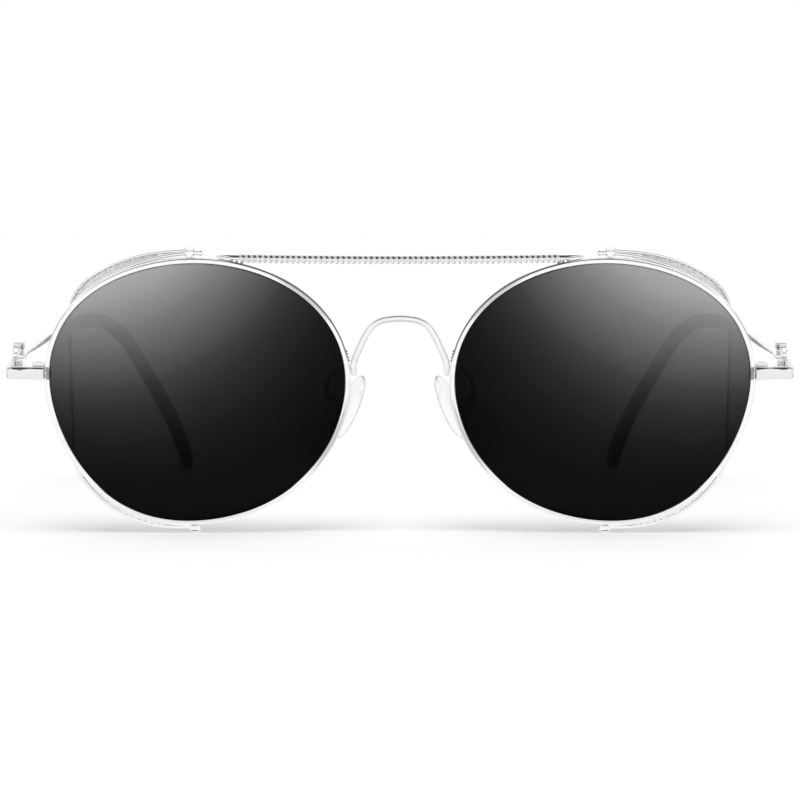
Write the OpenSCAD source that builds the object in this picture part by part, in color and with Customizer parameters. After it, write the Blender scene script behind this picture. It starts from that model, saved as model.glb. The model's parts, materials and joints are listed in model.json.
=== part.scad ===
// Round wire sunglasses with a coil-wrapped brow bar and swinging mesh side shields.
// Millimetres. The pair stands on a table on its rims and its temple tips, as worn side up.
// The front faces -Y, the temples run back along +Y, and the wearer's right side is at -X.

/* [Lenses and rims] */
// Width of one lens between the rim lips
lens_w = 54.2; // [48:0.1:60]
// Height of one lens between the rim lips
lens_h = 48.7; // [44:0.1:54]
// Gap between the two lenses at the nose
lens_gap = 21.0; // [18:0.1:24]
// Lift of the widest line above the middle of the lens
lens_crown = 0.52; // [0:0.05:1]
// How square the two upper corners of the lens are
lens_shoulder = 0.57; // [0:0.02:1]
// How far the lens narrows towards the cheek
lens_cheek = 0.25; // [0:0.05:0.6]
// How far the lens leans towards the temples at its top
lens_lean = 0.15; // [0:0.05:0.4]
// How far the four corners of the lens stand out
lens_square = 0.10; // [0:0.02:0.3]
// How far those corners turn up at the temple and down at the nose
lens_swirl = 0.12; // [0:0.02:0.3]
// How far the top and the bottom of the lens rise in their middles
lens_peak = 0.15; // [0:0.05:0.3]
// Thickness of a lens
lens_t = 1.6; // [1.2:0.1:2]
// Radius of the lens surface
lens_curve = 177; // [120:1:300]
// Width of the rim wire, seen from the front
rim_w = 1.0; // [0.8:0.05:1.6]
// Depth of the rim wire, front to back
rim_d = 1.9; // [1.6:0.1:2.6]

/* [Bridge and brow bar] */
// Radius of the bridge wire
bridge_wire_r = 0.65; // [0.5:0.05:0.9]
// Radius of the crown of the bridge
bridge_crown_r = 14; // [11:0.5:16]
// Radius of the two shoulders of the bridge
bridge_shoulder_r = 4.5; // [4:0.1:5]
// Radius of the two legs of the bridge
bridge_leg_r = 16; // [12:0.5:20]
// Height of the top of the bridge above the middle of the lenses
bridge_rise = 14.1; // [12:0.1:17]
// Radius of the rod inside the coil
brow_rod_r = 0.28; // [0.2:0.01:0.3]
// Radius of the coil's wire
coil_wire_r = 0.25; // [0.2:0.01:0.28]
// Outer radius of the coil
coil_out_r = 0.83; // [0.8:0.01:1]
// Distance from one turn of the coil to the next
coil_pitch = 1.015; // [1:0.005:1.3]
// Length of bare rod from each end of the coil to the rim
coil_margin = 1.4; // [1:0.1:6]
// Sag of the brow bar at its middle
brow_sag = 0.3; // [0:0.1:1]

/* [End pieces and hinges] */
// Reach of an end piece beyond its rim
end_reach = 7.14; // [7:0.02:9]
// Height of the end piece strip
end_h = 2.3; // [1.8:0.1:3]
// Thickness of the end piece strip
end_t = 1.3; // [1:0.1:1.4]
// Distance from the front plane back to the hinge axis
hinge_back = 9.5; // [9:0.1:12]
// Height of the hinge above the middle of the lenses
hinge_rise = 3.9; // [3:0.1:6]
// Radius of the hinge barrels
barrel_r = 1.3; // [1.2:0.05:1.6]
// Height of one hinge leaf
leaf_h = 1.0; // [0.8:0.05:1.3]
// Radius of the hinge screw
hinge_screw_r = 0.6; // [0.5:0.05:0.7]
// Radius of the rim screw
rim_screw_r = 0.5; // [0.4:0.05:0.6]
// Height of one half of the rim lock
lock_h = 1.6; // [1.4:0.1:2]

/* [Temples] */
// Length of a temple from its hinge axis to the end of its tip, along its middle
temple_len = 145; // [135:1:150]
// Length of the straight part of a temple
temple_straight = 88; // [80:1:92]
// Angle by which the tip turns down behind the ear
temple_drop_a = 49; // [38:1:52]
// Radius of that bend
temple_bend_r = 20; // [12:1:22]
// Slope of the temple against the front, which tilts the lenses when worn
panto_a = 8.5; // [4:0.1:10]
// Height of the metal arm at the hinge
arm_h = 1.7; // [1.4:0.1:2.4]
// Lift of the metal arm above the middle of the hinge
arm_lift = 1.2; // [0:0.1:1.5]
// Thickness of the metal arm
arm_t = 1.2; // [0.9:0.1:1.4]
// Length of the tip sleeve
sleeve_len = 63; // [50:1:70]
// Height of the sleeve at its neck
sleeve_neck_h = 2.9; // [2.6:0.1:3.6]
// Height of the sleeve at its broad end
sleeve_end_h = 7.0; // [4.5:0.1:7]
// Thickness of the sleeve
sleeve_t = 3.0; // [2.1:0.1:3]
// How far the sleeve's end curves in behind the ear
temple_bow = 21.6; // [12:0.1:23]

/* [Nose pads] */
// Length of a nose pad
pad_l = 13; // [11:0.5:15]
// Width of a nose pad
pad_w = 7; // [6:0.5:8]
// Thickness of a nose pad
pad_t = 2.3; // [2:0.1:3]
// Distance between the middles of the two pads
pad_spacing = 19.5; // [17:0.1:21]
// Distance from the front plane back to the middle of a pad
pad_back = 8.5; // [8:0.1:10]
// Depth of a pad's middle below the middle of the lenses
pad_drop = 4.9; // [2:0.1:6]
// Lean of the pad's top towards the nose
pad_frontal_a = 27; // [18:1:30]
// Turn of the pad's face towards the wearer
pad_splay_a = 20; // [15:1:32]
// Radius of the pad arm's wire
pad_wire_r = 0.45; // [0.4:0.05:0.6]

/* [Side shields] */
// Depth of a shield behind the front plane, to its rear wire
shield_depth = 8.8; // [6:0.1:8.8]
// Distance from the rim's outermost edge in to the front wire
front_wire_inset = 0.55; // [0.45:0.05:1]
// Distance from the rim's outermost edge in to the rear wire
rear_wire_inset = 3.65; // [2:0.05:5]
// Radius of the shield's wires
shield_wire_r = 0.35; // [0.3:0.05:0.4]
// Distance of the pivots outside the lens middle
pivot_out = 0.8; // [0:0.1:3]
// Radius of the pivot pins
pivot_pin_r = 0.4; // [0.35:0.05:0.5]
// Height of the collar that turns on the upper pivot pin
collar_h = 1.1; // [0.9:0.1:2]
// Height of the collar that turns on the lower pivot pin
low_collar_h = 0.9; // [0.8:0.1:1.4]
// Thickness of the mesh sheet
mesh_t = 0.3; // [0.2:0.05:0.4]
// Rows of gaps along the mesh
mesh_long = 29; // [10:1:36]
// Rows of gaps across the mesh
mesh_wide = 2; // [2:1:4]

/* [Hidden] */

LEFT = 1;
RIGHT = -1;
UP = [0, 0, 1];
BACK = [0, 1, 0];
SILVER = [0.86, 0.87, 0.89];
SMOKE = [0.13, 0.13, 0.14, 0.9];
BLACK = [0.05, 0.05, 0.05];
CLEAR = [0.93, 0.95, 0.96, 0.7];

// Clearances: parts that are soldered or seated, parts that turn, and a lens edge in its groove
seat_gap = 0.03;
run_gap = 0.05;
leaf_gap = 0.1;
groove_gap = 0.1;

// Middle of the left lens; the front frame has its origin between the lenses, and z = 0 is
// a little below the middle of the lenses
lens_x = (lens_gap + lens_w) / 2;
lens_z = 1.4;
lens_mean_r = (lens_w + lens_h) / 4 + lens_square;
lens_oval = (lens_w - lens_h) / 4;
rim_steps = 64;

// Rim lock and the slit that it closes
lock_w = 2.2;
lock_d = 2.0;
lock_slit = 0.2;
hinge_z = lens_z + hinge_rise;
slit_a = asin(hinge_rise / (lens_r(8) + rim_w));
slit_half_a = lock_slit / 2 / lens_mean_r * 180 / PI;
lock_low_a = asin((hinge_rise - lock_slit / 2 - lock_h) / (lens_r(4) + rim_w));
rim_side = lens_x + (lens_r(lock_low_a) + rim_w) * cos(lock_low_a) + seat_gap;
lock_x = rim_side + lock_w / 2;
lock_y = lock_d / 2 + 0.12;

// Bridge: how far its wire has turned down at the end of the crown, shoulder and leg
crown_a = 12;
shoulder_a = 56;
leg_a = 74;

// Hinge: three leaves on the front, two on the temple
end_out = rim_side + end_reach;
hinge_x = end_out - barrel_r;
leaf_step = leaf_h + leaf_gap;
leaf_base = hinge_z - 2.5 * leaf_h - 2 * leaf_gap;
hinge_top = leaf_base + 4 * leaf_step + leaf_h;
front_leaves = [0, 2, 4];
temple_leaves = [1, 3];
end_front = -rim_d / 2 - 0.3;
leg_end = hinge_back - barrel_r - 0.5;

// Temple: the arm's middle line, in a frame at the hinge axis that slopes by panto_a
arm_side = -0.2;
arm_start = barrel_r + 0.35;
bow_start = 74;
bow_len = 60;
bend_end = temple_straight + temple_bend_r * temple_drop_a * PI / 180;
sleeve_start = temple_len - sleeve_len;
core_end = temple_len - 22;
core_h = 1.5;
core_t = 0.9;

// Side shield: the wires rise from collars on two pins above and below the rim
pivot_x = lens_x + pivot_out;
rim_reach = lens_r(0) + rim_w - pivot_out;
shield_rear_reach = rim_reach - rear_wire_inset;
pivot_y = 0.3;
collar_r = pivot_pin_r + run_gap + 0.5;
pin_head_r = 1.05;
pin_head_h = 0.4;
head_gap = 0.1;
top_a = atan2(lens_mean_r, pivot_out);
bottom_a = -top_a;
pin_foot_top = lens_z + (lens_r(top_a) + rim_w) * sin(top_a) + seat_gap;
pin_foot_bottom = lens_z + (lens_r(bottom_a) + rim_w) * sin(bottom_a) - seat_gap;
collar_lift = 0.2;
collar_top = pin_foot_top + collar_lift;
collar_bottom = pin_foot_bottom - collar_lift;
front_wire_out = rim_w + seat_gap + collar_lift + shield_wire_r;
rear_wire_top = collar_top + collar_h - shield_wire_r;
rear_wire_bottom = collar_bottom - low_collar_h + shield_wire_r;
tail_len = 1.4;
shield_front_y = rim_d / 2 + shield_wire_r + 0.45;
shield_pole_y = pivot_y + collar_r - 0.1;
shield_steps = 28;
mesh_end = 0.86;
mesh_bar = 0.12;

// Nose pad: the tab of its core turns on a screw between the cheeks of the pad box
pad_screw_r = 0.45;
pad_pivot = 2.7;
box_near = 1.9;
box_far = 4.2;
box_half_l = 1.4;
box_half_w = 1.5;
tab_half = 0.55;

// Standing on a table: the lowest points of the front and of the tips share one plane
foot_y = pivot_y;
foot_z = collar_bottom - low_collar_h - head_gap - pin_head_h;
tip_centre = front_of_temple(temple_point(temple_len - sleeve_end_h / 2));
foot_span = [tip_centre[1] - foot_y, tip_centre[2] - foot_z];
foot_edge = pin_head_r;
rest_tilt = asin(sleeve_end_h / 2 / norm(foot_span)) - atan2(foot_span[1], foot_span[0]);
rest_z = foot_z * cos(rest_tilt) + (foot_y - foot_edge) * sin(rest_tilt);
front_reach = (pivot_y - pin_head_r) * cos(rest_tilt)
    - (collar_top + collar_h + head_gap + pin_head_h) * sin(rest_tilt);
back_reach = tip_centre[1] * cos(rest_tilt) - tip_centre[2] * sin(rest_tilt) + sleeve_end_h / 2;
rest_y = (front_reach + back_reach) / 2;

// Small vector helpers
function unit(v) = v / norm(v);
function blend(a, b, t) = a + (b - a) * t;
function ramp(t) = min(1, max(0, t));
function ease(t) = t * t * (3 - 2 * t);
function bezier(p, t) =
    pow(1 - t, 3) * p[0] + 3 * t * pow(1 - t, 2) * p[1] + 3 * t * t * (1 - t) * p[2] + t * t * t * p[3];
function round_profile(r, n) = [for (k = [0:n - 1]) r * [cos(360 * k / n), sin(360 * k / n)]];
function box_profile(h, w, c) = [
    [h / 2 - c, -w / 2], [h / 2, -w / 2 + c], [h / 2, w / 2 - c], [h / 2 - c, w / 2],
    [-h / 2 + c, w / 2], [-h / 2, w / 2 - c], [-h / 2, -w / 2 + c], [-h / 2 + c, -w / 2]
];
function direction(path, i) = unit(path[min(i + 1, len(path) - 1)] - path[max(i - 1, 0)]);
function ring(p, d, up, profile) =
    let (e1 = unit(up - (up * d) * d), e2 = cross(d, e1))
    [for (q = profile) p + q[0] * e1 + q[1] * e2];
function tube_rings(path, up, profile) =
    [for (i = [0:len(path) - 1]) ring(path[i], direction(path, i), up, profile)];

// A closed surface over rings of equal count, each turning the same way about the path
module skin(rings) {
    n = len(rings[0]);
    m = len(rings);
    sides = [
        for (i = [0:m - 2], j = [0:n - 1])
            let (a = i * n + j, b = i * n + (j + 1) % n)
            each [[a, b + n, b], [a, a + n, b + n]]
    ];
    first_cap = [for (j = [0:n - 1]) j];
    last_cap = [for (j = [n - 1:-1:0]) (m - 1) * n + j];
    polyhedron([for (r = rings) each r], concat(sides, [first_cap, last_cap]), convexity = 8);
}

module wire(path, r, up = UP, sides = 8) {
    skin(tube_rings(path, up, round_profile(r, sides)));
}

// Stands the front frame on the table, and mirrors what belongs to the wearer's right
module stand() {
    translate([0, -rest_y, -rest_z]) rotate([rest_tilt, 0, 0]) children();
}

module on_side(side) {
    stand()
        if (side == LEFT) children();
        else mirror([1, 0, 0]) children();
}

module pin(r, h, at) {
    translate(at) cylinder(r = r, h = h, $fn = 40);
}

// Lens outline in polar form; 0 degrees points to the temple, 90 degrees up
function lens_r(a) = lens_mean_r + lens_oval * cos(2 * a) + lens_crown * sin(a)
    + lens_shoulder * sin(3 * a) - lens_cheek * cos(3 * a) - lens_lean * sin(2 * a)
    - lens_square * cos(4 * a) + lens_swirl * sin(4 * a) + lens_peak * sin(5 * a);
function rim_angle(i) = slit_a + slit_half_a + i * (360 - 2 * slit_half_a) / rim_steps;
function outline_point(a, out) =
    [lens_x + (lens_r(a) + out) * cos(a), lens_z + (lens_r(a) + out) * sin(a)];
function lens_outline(out) = [for (i = [0:rim_steps]) outline_point(rim_angle(i), out)];

// Rim: a channel wire with a groove for the lens edge, slit where the lock closes it
groove_depth = 0.45;
groove_mouth = 0.4;
groove_lip = 0.05;
groove_floor = 0.25;
rim_profile = [
    [0, -rim_d / 2 + 0.15], [0.2, -rim_d / 2], [rim_w - 0.25, -rim_d / 2],
    [rim_w, -rim_d / 2 + 0.35], [rim_w, rim_d / 2 - 0.35], [rim_w - 0.25, rim_d / 2],
    [0.2, rim_d / 2], [0, rim_d / 2 - 0.15],
    [groove_lip, groove_mouth], [groove_depth, groove_floor],
    [groove_depth, -groove_floor], [groove_lip, -groove_mouth]
];

module rim() {
    rings = [
        for (i = [0:rim_steps])
            let (a = rim_angle(i))
            [for (q = rim_profile)
                let (p = outline_point(a, q[0]))
                [p[0], q[1], p[1]]]
    ];
    color(SILVER) skin(rings);
}

// A slab of the lens outline, standing in the front plane
module lens_slab(out, y0, y1) {
    translate([0, y1, 0]) rotate([90, 0, 0])
        linear_extrude(height = y1 - y0) polygon(lens_outline(out));
}

module lens() {
    edge_sag = lens_curve - sqrt(pow(lens_curve, 2) - pow(lens_mean_r, 2));
    centre = [lens_x, lens_curve - lens_t / 2 - edge_sag, lens_z];
    bevel = groove_floor - groove_gap;
    color(SMOKE) union() {
        intersection() {
            lens_slab(-groove_gap, -lens_curve / 20, lens_t);
            difference() {
                translate(centre) sphere(r = lens_curve, $fn = 240);
                translate(centre) sphere(r = lens_curve - lens_t, $fn = 240);
            }
        }
        lens_slab(groove_depth - groove_gap, -bevel, bevel);
    }
}

// Rim lock: an upper and a lower block that draw the slit rim together
lock_base = hinge_z - lock_slit / 2 - lock_h;
screw_head_h = 0.5;
screw_head_r = rim_screw_r * 1.6;
module rim_lock() {
    color(SILVER) difference() {
        for (base = [lock_base, hinge_z + lock_slit / 2])
            translate([lock_x - lock_w / 2, lock_y - lock_d / 2, base])
                cube([lock_w, lock_d, lock_h]);
        pin(rim_screw_r + run_gap, 2 * lock_h + 2, [lock_x, lock_y, lock_base - 0.5]);
        pin(screw_head_r + run_gap, screw_head_h + 0.5, [lock_x, lock_y, lock_base - 0.5]);
    }
}

module rim_screw() {
    slot = 0.24;
    color(SILVER) difference() {
        union() {
            pin(rim_screw_r, 2 * lock_h + lock_slit, [lock_x, lock_y, lock_base]);
            pin(screw_head_r, screw_head_h - seat_gap, [lock_x, lock_y, lock_base]);
        }
        translate([lock_x - lock_w, lock_y - slot / 2, lock_base - slot])
            cube([2 * lock_w, slot, 2 * slot]);
    }
}

// End piece: a flat strip from the rim to the corner, bent back towards the hinge
module endpiece() {
    corner_r = 1.7;
    lap = 0.9;
    color(SILVER) translate([0, 0, hinge_z - end_h / 2]) union() {
        linear_extrude(height = end_h) difference() {
            union() {
                translate([rim_side, end_front]) square([end_out - corner_r - rim_side, end_t]);
                translate([end_out - end_t, end_front + corner_r])
                    square([end_t, leg_end - end_front - corner_r]);
                translate([end_out - corner_r, end_front + corner_r]) intersection() {
                    circle(r = corner_r, $fn = 48);
                    translate([0, -corner_r]) square(corner_r);
                }
                translate([end_out - corner_r - 1, end_front + end_t - 0.01]) square([1.2, 1.21]);
            }
            translate([end_out - corner_r - 1, end_front + end_t + 1.2]) circle(r = 1.2, $fn = 40);
        }
        translate([rim_side - lap, end_front, 0]) cube([lap + 0.1, 0.27, end_h]);
    }
}

// One hinge leaf: a barrel with a plate that runs to y_end, bored for the screw
module leaf(level, x0, x1, y_end) {
    base = leaf_base + level * leaf_step;
    y0 = min(hinge_back, y_end);
    difference() {
        union() {
            pin(barrel_r, leaf_h, [hinge_x, hinge_back, base]);
            translate([x0, y0, base]) cube([x1 - x0, abs(y_end - hinge_back), leaf_h]);
        }
        pin(hinge_screw_r + run_gap, leaf_h + 2, [hinge_x, hinge_back, base - 1]);
    }
}

module front_hinge() {
    inner = hinge_x - barrel_r;
    outer = end_out - end_t - seat_gap;
    plate_back = leg_end - 0.1;
    color(SILVER) union() {
        translate([inner, plate_back - 3.4, hinge_z - end_h / 2])
            cube([outer - inner, 3.4, end_h]);
        translate([inner, plate_back - 1.2, leaf_base])
            cube([outer - inner, 1.2, hinge_top - leaf_base]);
        for (level = front_leaves) leaf(level, inner, outer, plate_back - 0.3);
    }
}

module temple_hinge() {
    inner = hinge_x + arm_side + arm_t / 2 + seat_gap;
    outer = hinge_x + barrel_r - 0.1;
    front = hinge_back + barrel_r + 0.2;
    color(SILVER) union() {
        translate([inner, front, leaf_base + leaf_step])
            cube([outer - inner, 3.2, 2 * leaf_step + leaf_h]);
        for (level = temple_leaves) leaf(level, inner, outer, front + 0.3);
    }
}

module hinge_screw() {
    head_h = 0.5;
    color(SILVER) difference() {
        union() {
            pin(hinge_screw_r, hinge_top - leaf_base, [hinge_x, hinge_back, leaf_base]);
            pin(hinge_screw_r * 1.75, head_h, [hinge_x, hinge_back, hinge_top + seat_gap]);
            pin(hinge_screw_r, seat_gap + 0.1, [hinge_x, hinge_back, hinge_top - 0.05]);
        }
        translate([hinge_x - 2, hinge_back - 0.13, hinge_top + seat_gap + head_h - 0.25])
            cube([4, 0.26, 1]);
    }
}

// Temple: the middle line at a distance s from the hinge axis, as [side, along, up]
function temple_reach(s) = s < temple_straight ? s
    : s < bend_end ? temple_straight + temple_bend_r * sin((s - temple_straight) / temple_bend_r * 180 / PI)
    : temple_straight + temple_bend_r * sin(temple_drop_a) + (s - bend_end) * cos(temple_drop_a);
function temple_fall(s) = s < temple_straight ? 0
    : s < bend_end ? -temple_bend_r * (1 - cos((s - temple_straight) / temple_bend_r * 180 / PI))
    : -temple_bend_r * (1 - cos(temple_drop_a)) - (s - bend_end) * sin(temple_drop_a);
function temple_point(s) = [
    arm_side - temple_bow * ease(ramp((temple_reach(s) - bow_start) / bow_len)),
    temple_reach(s),
    arm_lift + temple_fall(s)
];
// From the sloping temple frame to the front frame
function front_of_temple(p) = [
    hinge_x + p[0],
    hinge_back + p[1] * cos(panto_a) + p[2] * sin(panto_a),
    hinge_z - p[1] * sin(panto_a) + p[2] * cos(panto_a)
];
function temple_direction(s) = unit(temple_point(s + 0.5) - temple_point(s - 0.5));
function temple_ring(s, profile) =
    let (r = ring(temple_point(s), temple_direction(s), [0, sin(70), cos(70)], profile))
    [for (p = r) front_of_temple(p)];
function stations(from, to, count) = [for (i = [0:count]) blend(from, to, i / count)];

module temple_core(from, to, extra, count) {
    skin([for (s = stations(from, to, count))
        temple_ring(s, box_profile(core_h + 2 * extra, core_t + 2 * extra, 0.2))]);
}

function arm_height(s) = blend(arm_h, sleeve_neck_h - 0.4, ramp(s / sleeve_start));

module temple() {
    arm_stations = concat(stations(arm_start, bow_start, 3),
        stations(bow_start + 1, sleeve_start - 0.8, 4));
    core_stations = concat([sleeve_start - 0.4], stations(sleeve_start + 0.6, core_end, 16));
    rings = concat(
        [for (s = arm_stations) temple_ring(s, box_profile(arm_height(s), arm_t, 0.3))],
        [for (s = core_stations) temple_ring(s, box_profile(core_h, core_t, 0.2))]
    );
    color(SILVER) skin(rings);
}

function sleeve_h(s) = blend(sleeve_neck_h, sleeve_end_h,
    pow(ramp((s - sleeve_start) / (sleeve_len - 5)), 2.2));
module temple_tip() {
    end_r = sleeve_end_h / 2;
    body = [for (s = stations(sleeve_start, temple_len - end_r, 20)) [s, 1]];
    cap = [for (a = [25, 50, 70, 84]) [temple_len - end_r + end_r * sin(a), cos(a)]];
    rings = [
        for (st = concat(body, cap))
            temple_ring(st[0], box_profile(sleeve_h(st[0]) * st[1], sleeve_t * blend(1, st[1], 0.6),
                0.7 * st[1]))
    ];
    color(BLACK) difference() {
        skin(rings);
        temple_core(sleeve_start - 1, core_end + 0.3, run_gap, 20);
    }
}

// Bridge: a flat crown, two tighter shoulders and two long legs, whose feet lie along the rims
function arc_step(r, from, to) = r * [sin(to) - sin(from), cos(to) - cos(from)];
crown_end = [0, lens_z + bridge_rise] + arc_step(bridge_crown_r, 0, crown_a);
shoulder_end = crown_end + arc_step(bridge_shoulder_r, crown_a, shoulder_a);
bridge_half = concat(
    [for (a = [0, crown_a / 2, crown_a]) [0, lens_z + bridge_rise] + arc_step(bridge_crown_r, 0, a)],
    [for (a = [0.2, 0.4, 0.6, 0.8, 1])
        crown_end + arc_step(bridge_shoulder_r, crown_a, blend(crown_a, shoulder_a, a))],
    [for (a = [0.4, 0.8]) shoulder_end + arc_step(bridge_leg_r, shoulder_a, blend(shoulder_a, leg_a, a))],
    [for (a = [168, 170.5, 173]) outline_point(a, rim_w + bridge_wire_r + seat_gap)]
);
module bridge() {
    n = len(bridge_half);
    path = concat(
        [for (i = [n - 1:-1:1]) [-bridge_half[i][0], 0, bridge_half[i][1]]],
        [for (p = bridge_half) [p[0], 0, p[1]]]
    );
    color(SILVER) stand() wire(path, bridge_wire_r, BACK, 10);
}

// Brow bar: a rod whose flattened ends are soldered on the tops of the rims
brow_seat_a = 104;
brow_end = outline_point(brow_seat_a, rim_w + 0.4);
brow_half = brow_end[0] - 0.4;
coil_turns = floor(2 * (brow_half - coil_margin) / coil_pitch);
coil_half = coil_turns * coil_pitch / 2;
function brow_z(x) = brow_end[1] - brow_sag * (1 - pow(x / brow_half, 2));

module brow_bar() {
    tongue = 0.75;
    rod = [for (i = [-8:8]) [brow_half * i / 8, 0, brow_z(brow_half * i / 8)]];
    seat_angles = [for (i = [0:4]) brow_seat_a - 6 + i * 2.2];
    under = [for (a = seat_angles) outline_point(a, rim_w + seat_gap)];
    over = [for (i = [4:-1:0])
        outline_point(seat_angles[i], rim_w + seat_gap + tongue * (i < 1 ? 0.5 : 1))];
    color(SILVER) stand() union() {
        wire(rod, brow_rod_r);
        for (side = [0, 1])
            mirror([side, 0, 0]) translate([0, 0.8, 0]) rotate([90, 0, 0])
                linear_extrude(height = 1.6) polygon(concat(under, over));
    }
}

// Coil: one unbroken tube wound round the rod, with open gaps between its turns
coil_rings = 8;
coil_sides = 6;
function coil_point(i) =
    let (a = 360 * i / coil_rings, x = -coil_half + coil_pitch * i / coil_rings)
    [x, (coil_out_r - coil_wire_r) * cos(a), brow_z(x) + (coil_out_r - coil_wire_r) * sin(a)];
coil_path = [for (i = [0:coil_turns * coil_rings]) coil_point(i)];
coil_shell = tube_rings(coil_path, [1, 0, 0], round_profile(coil_wire_r, coil_sides));
coil_gap = min([
    for (i = [0:3 * coil_rings], p = coil_shell[i], k = [-2:2], q = coil_shell[i + coil_rings + k])
        norm(p - q)
]);
echo(least_gap_between_turns = coil_gap);

module brow_coil() {
    color(SILVER) stand() skin(coil_shell);
}

// Nose pad frame: +x points away from the nose, z along the pad
module at_pad() {
    translate([pad_spacing / 2, pad_back, lens_z - pad_drop])
        rotate([0, 0, -pad_splay_a]) rotate([0, -pad_frontal_a, 0]) children();
}

// The same frame as a function, for the wire that ends on the pad box
function at_pad_point(p) =
    let (
        x1 = p[0] * cos(pad_frontal_a) - p[2] * sin(pad_frontal_a),
        z1 = p[0] * sin(pad_frontal_a) + p[2] * cos(pad_frontal_a)
    )
    [
        pad_spacing / 2 + x1 * cos(pad_splay_a) + p[1] * sin(pad_splay_a),
        pad_back - x1 * sin(pad_splay_a) + p[1] * cos(pad_splay_a),
        lens_z - pad_drop + z1
    ];

module nose_pad() {
    // Each pair is the place across the thickness and the share of the outline
    layers = [[-0.5, 0.55], [-0.4, 0.84], [-0.15, 0.99], [0.15, 0.97], [0.32, 0.85], [0.42, 0.6]];
    rings = [
        for (layer = layers)
            [for (a = [0:15:345])
                let (narrow = 1 - 0.16 * sin(a))
                [
                    layer[0] * pad_t,
                    pad_w / 2 * layer[1] * cos(a) * narrow,
                    pad_l / 2 * layer[1] * sin(a)
                ]]
    ];
    color(CLEAR) at_pad() skin(rings);
}

module pad_core() {
    plate_x = 0.42 * pad_t + seat_gap;
    color(CLEAR) at_pad() difference() {
        union() {
            translate([plate_x, -1.1, -2]) cube([0.25, 2.2, 4]);
            translate([plate_x, -tab_half, -0.75]) cube([pad_pivot - plate_x, 2 * tab_half, 1.5]);
            translate([pad_pivot, tab_half, 0]) rotate([90, 0, 0])
                cylinder(r = 0.75, h = 2 * tab_half, $fn = 40);
        }
        translate([pad_pivot, 3, 0]) rotate([90, 0, 0])
            cylinder(r = pad_screw_r + run_gap, h = 6, $fn = 40);
    }
}

module pad_box() {
    slot = tab_half + 0.1;
    wall = 0.6;
    color(SILVER) at_pad() difference() {
        translate([box_near, -box_half_w, -box_half_l])
            cube([box_far - box_near, 2 * box_half_w, 2 * box_half_l]);
        translate([box_near - 1, -slot, -box_half_l - 1])
            cube([box_far - box_near + 1 - wall, 2 * slot, 2 * box_half_l + 2]);
        translate([pad_pivot, 3, 0]) rotate([90, 0, 0])
            cylinder(r = pad_screw_r + run_gap, h = 6, $fn = 40);
    }
}

module pad_screw() {
    head_h = 0.35;
    color(SILVER) at_pad() translate([pad_pivot, box_half_w + seat_gap + head_h, 0])
        rotate([90, 0, 0]) union() {
            cylinder(r = 0.75, h = head_h, $fn = 40);
            cylinder(r = pad_screw_r, h = 2 * box_half_w + seat_gap + head_h, $fn = 40);
        }
}

// Pad arm: a wire from the back of the rim round to the back of the pad box
module pad_arm() {
    foot = outline_point(172, rim_w / 2);
    start = [foot[0], rim_d / 2 + seat_gap, foot[1]];
    end = at_pad_point([box_far + seat_gap, 0, 0]);
    // Both ends run straight at first, square to what they are soldered on
    stub = 0.3;
    start_bend = start + stub * BACK;
    end_bend = at_pad_point([box_far + seat_gap + stub, 0, 0]);
    leave = at_pad_point([box_far + 2.6, 0, 1.5]);
    bend = [start_bend, start_bend + [1.6, 2.9, 2], leave, end_bend];
    path = concat([start], [for (i = [0:13]) bezier(bend, i / 13)], [end]);
    color(SILVER) wire(path, pad_wire_r, [0.3, 0, 1], 8);
}

// Side shield: two wires between the collars; u runs from -1 at the lower pivot to 1 at the upper
function shield_front(u) =
    let (p = outline_point(top_a * u, blend(rim_w - front_wire_inset, front_wire_out, u * u)))
    [p[0], blend(shield_front_y, shield_pole_y, pow(abs(u), 8)), p[1]];

// The rear wire runs straight in its middle and turns in to each pivot on one smooth curve
top_straight = 0.47;
low_straight = 0.51;
rear_mid = (rear_wire_top + rear_wire_bottom) / 2;
rear_half = (rear_wire_top - rear_wire_bottom) / 2;
function rear_turn(u, straight, pole_z, lead, dip, corner) =
    let (t = (1 - abs(u)) / (1 - straight), out = pivot_x + shield_rear_reach)
    t >= 1 ? [out, rear_mid + u * rear_half] : bezier([
        [pivot_x, pole_z],
        [pivot_x + lead * shield_rear_reach, pole_z - dip],
        [out, rear_mid + sign(u) * corner * rear_half],
        [out, rear_mid + sign(u) * straight * rear_half]
    ], t);
function rear_plane(u) = u > 0
    ? rear_turn(u, top_straight, rear_wire_top, 0.55, 0.95, 0.754)
    : rear_turn(u, low_straight, rear_wire_bottom, 0.65, 3.2, 0.715);
function shield_rear(u) =
    let (p = rear_plane(u))
    [p[0], blend(shield_depth, shield_pole_y, pow(abs(u), 4)), p[1]];

module shield_frame() {
    places = stations(-1, 1, shield_steps);
    color(SILVER) difference() {
        union() {
            wire([for (u = places) shield_front(u)], shield_wire_r, BACK, 6);
            wire([for (u = places) shield_rear(u)], shield_wire_r, BACK, 6);
            pin(collar_r, collar_h, [pivot_x, pivot_y, collar_top]);
            pin(collar_r, low_collar_h, [pivot_x, pivot_y, collar_bottom - low_collar_h]);
            // Tail of the wire, wound on beyond the upper collar
            translate([pivot_x - collar_r - tail_len, pivot_y, collar_top + collar_h / 2])
                rotate([0, 90, 0]) {
                    cylinder(r = shield_wire_r + 0.05, h = tail_len + 0.3, $fn = 32);
                    cylinder(r = shield_wire_r + 0.25, h = 0.7, $fn = 32);
                }
        }
        pin(pivot_pin_r + run_gap, collar_h + 2, [pivot_x, pivot_y, collar_top - 1]);
        pin(pivot_pin_r + run_gap, low_collar_h + 2,
            [pivot_x, pivot_y, collar_bottom - low_collar_h - 1]);
    }
}

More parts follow.
